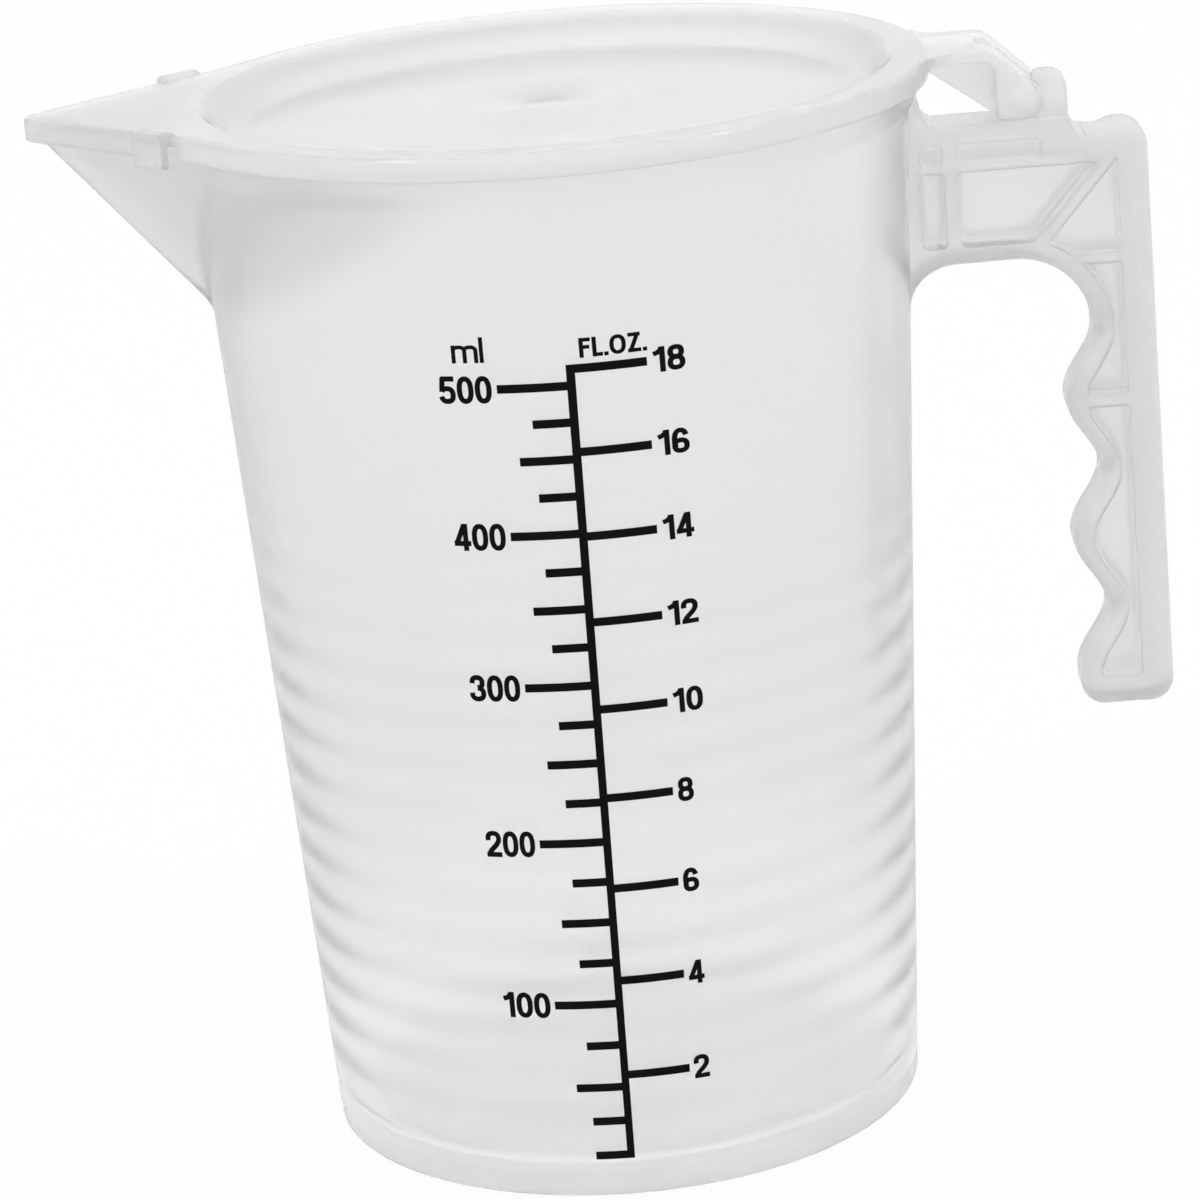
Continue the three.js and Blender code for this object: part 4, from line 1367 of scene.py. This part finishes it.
def moulding_places():
    """Masks from the object's own coordinates: where painted shade and painted light go, and where the
    roughness changes.
    """
    name = "moulding_places"
    if name in bpy.data.node_groups:
        return bpy.data.node_groups[name]
    group = bpy.data.node_groups.new(name, "ShaderNodeTree")
    sockets = group.interface
    sizes = ("Ring Pitch", "Full Below", "None Above", "Base Radius", "Slope", "Fade", "Floor", "Wall", "Web")
    for label in sizes:
        sockets.new_socket(label, in_out="INPUT", socket_type="NodeSocketFloat")
    for label in ("Rings", "Clear", "Proud", "Inside", "Root", "Thick", "Beak", "Base"):
        sockets.new_socket(label, in_out="OUTPUT", socket_type="NodeSocketFloat")
    nodes, links = group.nodes, group.links
    given = nodes.new("NodeGroupInput").outputs
    result = nodes.new("NodeGroupOutput").inputs
    coordinates = nodes.new("ShaderNodeTexCoord")
    split = nodes.new("ShaderNodeSeparateXYZ")
    links.new(coordinates.outputs["Object"], split.inputs["Vector"])
    x, y, z = split.outputs

    def feed(value, socket):
        if isinstance(value, float):
            socket.default_value = value
        else:
            links.new(value, socket)

    def maths(operation, *values):
        node = nodes.new("ShaderNodeMath")
        node.operation = operation
        for socket, value in zip(node.inputs, values):
            feed(value, socket)
        return node.outputs["Value"]

    def rise(value, start, end):
        """0 at the start, 1 at the end, with a soft passage."""
        node = nodes.new("ShaderNodeMapRange")
        node.interpolation_type = "SMOOTHSTEP"
        feed(value, node.inputs["Value"])
        feed(start, node.inputs["From Min"])
        feed(end, node.inputs["From Max"])
        return node.outputs["Result"]

    stretch = nodes.new("ShaderNodeMapping")
    stretch.inputs["Scale"].default_value = PATCH_STRETCH
    patches = nodes.new("ShaderNodeTexNoise")
    patches.inputs["Scale"].default_value = PATCH_SCALE
    links.new(coordinates.outputs["Object"], stretch.inputs["Vector"])
    links.new(stretch.outputs["Vector"], patches.inputs["Vector"])
    wave = maths("COSINE", maths("MULTIPLY", maths("DIVIDE", z, given["Ring Pitch"]), math.tau))
    wave = maths("MULTIPLY_ADD", wave, 0.5, 0.5)
    radius = maths("SQRT", maths("ADD", maths("POWER", x, 2.0), maths("POWER", y, 2.0)))
    wall = maths("ADD", maths("MULTIPLY", z, given["Slope"]), given["Base Radius"])
    outward = maths("SUBTRACT", radius, wall)
    # The collar and the spout: painted shade and a rougher finish go there
    proud = rise(outward, 0.0, given["Fade"])
    low = rise(z, given["None Above"], given["Full Below"])
    # Painted shade in the rings, in patches, below the height where the ripples fade
    rings = maths("MULTIPLY", maths("MULTIPLY", wave, low), patches.outputs["Fac"])
    inside = maths("LESS_THAN", outward, maths("MULTIPLY", given["Wall"], -0.5))
    # Painted shade on the wall beside the spout's root, but not on the collar or the spout
    slant = maths("SUBTRACT", z, maths("MULTIPLY", x, ROOT_SHADE_SLANT))
    root = maths("MULTIPLY", rise(slant, ROOT_SHADE_LOW, ROOT_SHADE_HIGH), rise(x, ROOT_SHADE_BACK, ROOT_SHADE_FRONT))
    root = maths("MULTIPLY", root, maths("SUBTRACT", 1.0, proud))
    base = maths("LESS_THAN", z, given["Floor"])
    # Painted light at the foot of the wall and beside the handle's root
    foot = maths("MULTIPLY", rise(z, FOOT_LIGHT_HIGH, FOOT_LIGHT_LOW), maths("SUBTRACT", 1.0, base))
    joint_light = maths("MULTIPLY", rise(x, JOINT_LIGHT_START, JOINT_LIGHT_FULL), rise(z, JOINT_LIGHT_LOW, JOINT_LIGHT_HIGH))
    # Painted shade on the handle's ribs and flanges, less near the cup, and some on the panels further out
    thick = rise(maths("ABSOLUTE", y), given["Web"], maths("MULTIPLY", given["Web"], 2.0))
    outer = rise(x, ARM_SHADE_ROOT, ARM_SHADE_END)
    ribs = maths("MULTIPLY", thick, maths("MULTIPLY_ADD", outer, 1.0 - ARM_SHADE_SHARE, ARM_SHADE_SHARE))
    links.new(rings, result["Rings"])
    links.new(proud, result["Proud"])
    links.new(inside, result["Inside"])
    links.new(root, result["Root"])
    links.new(maths("MAXIMUM", foot, joint_light), result["Clear"])
    links.new(maths("MAXIMUM", ribs, maths("MULTIPLY", outer, PANEL_SHADE_SHARE)), result["Thick"])
    links.new(rise(x, BEAK_SHADE_START, BEAK_SHADE_FULL), result["Beak"])
    links.new(base, result["Base"])
    return group


def milky_plastic(name, colour, clearness, roughness):
    """The plastic of both mouldings, with the share of light that passes through it."""
    look = bpy.context.scene.jug_look
    base = tuple(colour)
    dark = tuple(CLOUD_SHADE * c for c in base[:3]) + (1.0,)
    material, shader = surface_material(name, base, dark, roughness, PLASTIC_SPREAD, PLASTIC_GRAIN)
    shader.inputs["IOR"].default_value = look.bending
    shader.inputs["Transmission Weight"].default_value = clearness
    shader.inputs["Coat Weight"].default_value = COAT
    shader.inputs["Coat Roughness"].default_value = COAT_ROUGHNESS
    places = material.node_tree.nodes.new("ShaderNodeGroup")
    places.name = "places"
    places.node_tree = moulding_places()
    sizes = {
        "Ring Pitch": cup().ripple_pitch,
        "Full Below": RIPPLE_FULL,
        "None Above": RIPPLE_NONE,
        "Base Radius": cup().base_radius,
        "Slope": cup().slope,
        "Fade": PROUD_FADE,
        "Floor": cup().floor + HAIR,
        "Wall": cup().wall,
        "Web": handle().web / 2.0 + HAIR,
    }
    for label, size in sizes.items():
        places.inputs[label].default_value = size
    return material


def blend_in(material, label, kind, mask, value):
    """Lets a value of the shader go over to another where a mask is 1."""
    nodes, links = material.node_tree.nodes, material.node_tree.links
    socket = nodes["Principled BSDF"].inputs[label]
    mix = nodes.new("ShaderNodeMix")
    mix.data_type = kind
    mix.inputs["B"].default_value = value
    links.new(nodes["places"].outputs[mask], mix.inputs["Factor"])
    links.new(socket.links[0].from_socket, mix.inputs["A"])
    links.new(mix.outputs["Result"], socket)


def toned(material, mask, tone):
    """Lets the base colour go over to a tone where a mask is 1."""
    blend_in(material, "Base Color", "RGBA", mask, tone)


def frosted(material, mask, roughness):
    """Lets the roughness go over to another where a mask is 1."""
    blend_in(material, "Roughness", "FLOAT", mask, roughness)


def jug_plastic():
    """The jug's plastic: painted light at the foot and beside the handle, painted shade in the rings, at the
    spout root and on collar and spout, and a frosted base.
    """
    look = bpy.context.scene.jug_look
    material = milky_plastic("milky_jug", look.plastic, look.clearness, look.gloss)
    # Painted light at the foot and beside the handle's root
    toned(material, "Clear", look.clear)
    # Painted shade in the rings
    toned(material, "Rings", look.ring)
    # Painted shade beside the spout's root
    toned(material, "Root", look.root)
    # Painted shade on the collar and the spout
    toned(material, "Proud", look.proud)
    frosted(material, "Inside", look.inside_gloss)
    frosted(material, "Proud", look.proud_gloss)
    frosted(material, "Base", look.base_gloss)
    return material


def handle_plastic():
    """The handle's plastic: milky, with painted shade that darkens the ribs more than the panels between
    them.
    """
    look = bpy.context.scene.jug_look
    material = milky_plastic("milky_handle", look.panel, look.handle_clearness, look.proud_gloss)
    # Painted shade on the ribs, the flanges and the outer panels
    toned(material, "Thick", look.thick)
    shader = material.node_tree.nodes["Principled BSDF"]
    shader.inputs["Subsurface Weight"].default_value = 1.0
    shader.inputs["Subsurface Radius"].default_value = EVEN_SPREAD
    shader.inputs["Subsurface Scale"].default_value = look.depth
    return material


def lid_plastic():
    """The lid's plastic, milkier than the jug's, with painted shade on the beak."""
    look = bpy.context.scene.jug_look
    material = milky_plastic("milky_lid", look.cover, look.lid_clearness, look.lid_gloss)
    # Painted shade on the beak
    toned(material, "Beak", look.beak)
    shader = material.node_tree.nodes["Principled BSDF"]
    shader.inputs["Coat Weight"].default_value = LID_COAT
    return material


def black_ink():
    """The flat black of the print, shared by marks and figures."""
    name = "scale_ink"
    if name in bpy.data.materials:
        return bpy.data.materials[name]
    look = bpy.context.scene.jug_look
    base = tuple(look.ink)
    dark = tuple(INK_SHADE * c for c in base[:3]) + (1.0,)
    material, shader = surface_material(name, base, dark, INK_ROUGHNESS, INK_SPREAD, INK_GRAIN)
    shader.inputs["Specular IOR Level"].default_value = INK_SHINE
    return material


def paint(piece, *materials):
    piece.data.materials.clear()
    for material in materials:
        piece.data.materials.append(material)


def dress(piece, slot, body, *nodes):
    """Hides the CAD nodes that the piece replaces and sets the piece on the body that it rides on. The slot
    is not used.
    """
    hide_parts(*nodes)
    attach(piece, body)


class JUG_OT_moulding(bpy.types.Operator):
    """Model the jug in one moulding: cup, collar, spout, handle and hook"""

    bl_idname = "object.jug_moulding"
    bl_label = "Jug moulding"

    def execute(self, context):
        piece = spun("jug_moulding", cup_profile())
        pull_spout(piece)
        paint(piece, jug_plastic())
        grip = model_handle()
        paint(grip, handle_plastic())
        combine(piece, grip, "UNION")
        shade(piece)
        dress(piece, "milky_plastic", "jug", "jug_body")
        return {"FINISHED"}


class JUG_OT_lid(bpy.types.Operator):
    """Model the lid: dished top, skirt, beak, clips, tongue and hinge bar"""

    bl_idname = "object.jug_lid"
    bl_label = "Lid"

    def execute(self, context):
        piece = spun("lid_moulding", lid_profile())
        pull_beak(piece)
        add_clips(piece)
        add_tongue(piece)
        shade(piece)
        paint(piece, lid_plastic())
        dress(piece, "milky_plastic", "cover", "lid")
        return {"FINISHED"}


class JUG_OT_scale(bpy.types.Operator):
    """Print the spine and its marks on the wall"""

    bl_idname = "object.jug_scale"
    bl_label = "Scale marks"

    def execute(self, context):
        outline = ladder_outline()
        stock = side_prism("scale_marks", outline, PRINT_FRONT, PRINT_FRONT + PRINT_DEPTH)
        combine(stock, ink_skin("skin"), "INTERSECT")
        shade(stock)
        paint(stock, black_ink())
        dress(stock, "black_ink", "jug", "scale_print")
        return {"FINISHED"}


class JUG_OT_figures(bpy.types.Operator):
    """Print the figures and the units beside the marks"""

    bl_idname = "object.jug_figures"
    bl_label = "Scale figures"

    def execute(self, context):
        stock = model_figures()
        stock.name = "scale_figures"
        combine(stock, ink_skin("skin"), "INTERSECT", overlapping=True)
        shade(stock)
        paint(stock, black_ink())
        dress(stock, "black_ink", "jug")
        return {"FINISHED"}


# Stage
FLOOR_SIZE = 8.0
FLOOR_DROP = 0.2 * MM
FLOOR_ROUGHNESS = 0.9
FLOOR_GLOW = 0.93
AIM = (0.0, 0.0, 0.07)
KEY_PLACE = (-0.72, -0.56, 0.95)
FILL_PLACE = (0.80, -0.45, 0.92)
LAMP_SIZE = (0.12, 0.12)
FILL_SHARE = 0.6
SENSOR = 36.0
LENS = 147.12
CLIP_START = 0.01
EYE = (0.01669, -0.60121, 0.24811)
EYE_HEADING = 1.46
EYE_PITCH = 16.839
EYE_ROLL = -4.820


def floor_material(look):
    """Pale floor that looks white to the camera and keeps a faint shadow."""
    material = bpy.data.materials.new("studio_floor")
    material.use_nodes = True
    nodes, links = material.node_tree.nodes, material.node_tree.links
    shader = nodes["Principled BSDF"]
    shader.inputs["Base Color"].default_value = look.floor
    shader.inputs["Roughness"].default_value = FLOOR_ROUGHNESS
    shader.inputs["Specular IOR Level"].default_value = 0.0
    glow = nodes.new("ShaderNodeEmission")
    seen = seen_rays(nodes, links)
    part = nodes.new("ShaderNodeMath")
    part.operation = "MULTIPLY"
    part.inputs[1].default_value = FLOOR_GLOW
    mix = nodes.new("ShaderNodeMixShader")
    links.new(seen, part.inputs[0])
    links.new(part.outputs["Value"], mix.inputs["Fac"])
    links.new(shader.outputs["BSDF"], mix.inputs[1])
    links.new(glow.outputs["Emission"], mix.inputs[2])
    links.new(mix.outputs["Shader"], nodes["Material Output"].inputs["Surface"])
    return material


def seen_rays(nodes, links):
    """1 for rays from the camera, reflections and rays through the plastic."""
    path = nodes.new("ShaderNodeLightPath")
    first = nodes.new("ShaderNodeMath")
    first.operation = "MAXIMUM"
    second = nodes.new("ShaderNodeMath")
    second.operation = "MAXIMUM"
    links.new(path.outputs["Is Camera Ray"], first.inputs[0])
    links.new(path.outputs["Is Glossy Ray"], first.inputs[1])
    links.new(first.outputs["Value"], second.inputs[0])
    links.new(path.outputs["Is Transmission Ray"], second.inputs[1])
    return second.outputs["Value"]


def light_world(look):
    """Even white light from all around, seen as pure white."""
    world = bpy.data.worlds.new("studio")
    world.use_nodes = True
    nodes, links = world.node_tree.nodes, world.node_tree.links
    background = nodes["Background"]
    background.inputs["Color"].default_value = (1.0, 1.0, 1.0, 1.0)
    strength = nodes.new("ShaderNodeMapRange")
    strength.inputs["To Min"].default_value = look.world
    strength.inputs["To Max"].default_value = 1.0
    links.new(seen_rays(nodes, links), strength.inputs["Value"])
    links.new(strength.outputs["Result"], background.inputs["Strength"])
    bpy.context.scene.world = world


def add_lamp(name, place, power):
    """A square lamp that shines at the middle of the jug."""
    clear_selection()
    bpy.ops.object.light_add(type="AREA", location=place)
    lamp = bpy.context.object
    lamp.name = name
    lamp.data.shape = "RECTANGLE"
    lamp.data.size, lamp.data.size_y = LAMP_SIZE
    lamp.data.energy = power
    lamp.rotation_euler = (Vector(AIM) - Vector(place)).to_track_quat("-Z", "Y").to_euler()


def add_camera():
    """The viewpoint of the photograph."""
    clear_selection()
    bpy.ops.object.camera_add()
    camera = bpy.context.object
    camera.name = "viewpoint"
    camera.data.sensor_width = SENSOR
    camera.data.lens = LENS
    camera.data.clip_start = CLIP_START
    heading = Matrix.Rotation(math.radians(EYE_HEADING), 4, "Z")
    tilt = Matrix.Rotation(math.radians(90.0 - EYE_PITCH), 4, "X")
    roll = Matrix.Rotation(math.radians(EYE_ROLL), 4, "Z")
    camera.matrix_world = Matrix.Translation(EYE) @ heading @ tilt @ roll
    bpy.context.scene.camera = camera


class JUG_OT_stage(bpy.types.Operator):
    """Set up the floor, the light and the camera"""

    bl_idname = "object.jug_stage"
    bl_label = "Stage"

    def execute(self, context):
        look = context.scene.jug_stage
        clear_selection()
        bpy.ops.mesh.primitive_plane_add(size=FLOOR_SIZE, location=(0.0, 0.0, -FLOOR_DROP))
        floor = context.object
        floor.name = "studio_floor"
        floor.data.materials.append(floor_material(look))
        light_world(look)
        add_lamp("key", KEY_PLACE, look.key)
        add_lamp("fill", FILL_PLACE, look.key * FILL_SHARE)
        add_camera()
        context.scene.view_settings.view_transform = "Standard"
        return {"FINISHED"}


OPERATORS = (JUG_OT_moulding, JUG_OT_lid, JUG_OT_scale, JUG_OT_figures, JUG_OT_stage)
GROUPS = {
    "jug_cup": CupSizes,
    "jug_handle": HandleSizes,
    "jug_lid": LidSizes,
    "jug_hinge": HingeSizes,
    "jug_print": PrintSizes,
    "jug_look": JugLook,
    "jug_stage": StageLook,
}


class VIEW3D_PT_jug(bpy.types.Panel):
    """Lists the sizes and the steps"""

    bl_label = "Measuring jug"
    bl_idname = "VIEW3D_PT_jug"
    bl_space_type = "VIEW_3D"
    bl_region_type = "UI"
    bl_category = "Jug"

    def draw(self, context):
        layout = self.layout
        for name, group in GROUPS.items():
            box = layout.box()
            settings = getattr(context.scene, name)
            for key in group.__annotations__:
                box.prop(settings, key)
        for operator in OPERATORS:
            layout.operator(operator.bl_idname)


def register():
    for group in GROUPS.values():
        bpy.utils.register_class(group)
    for name, group in GROUPS.items():
        setattr(bpy.types.Scene, name, bpy.props.PointerProperty(type=group))
    for operator in OPERATORS:
        bpy.utils.register_class(operator)
    bpy.utils.register_class(VIEW3D_PT_jug)


def unregister():
    bpy.utils.unregister_class(VIEW3D_PT_jug)
    for operator in OPERATORS:
        bpy.utils.unregister_class(operator)
    for name, group in GROUPS.items():
        delattr(bpy.types.Scene, name)
        bpy.utils.unregister_class(group)


def main():
    register()
    bpy.ops.object.jug_moulding()
    bpy.ops.object.jug_lid()
    bpy.ops.object.jug_scale()
    bpy.ops.object.jug_figures()
    bpy.ops.object.jug_stage()


if __name__ == "__main__":
    main()
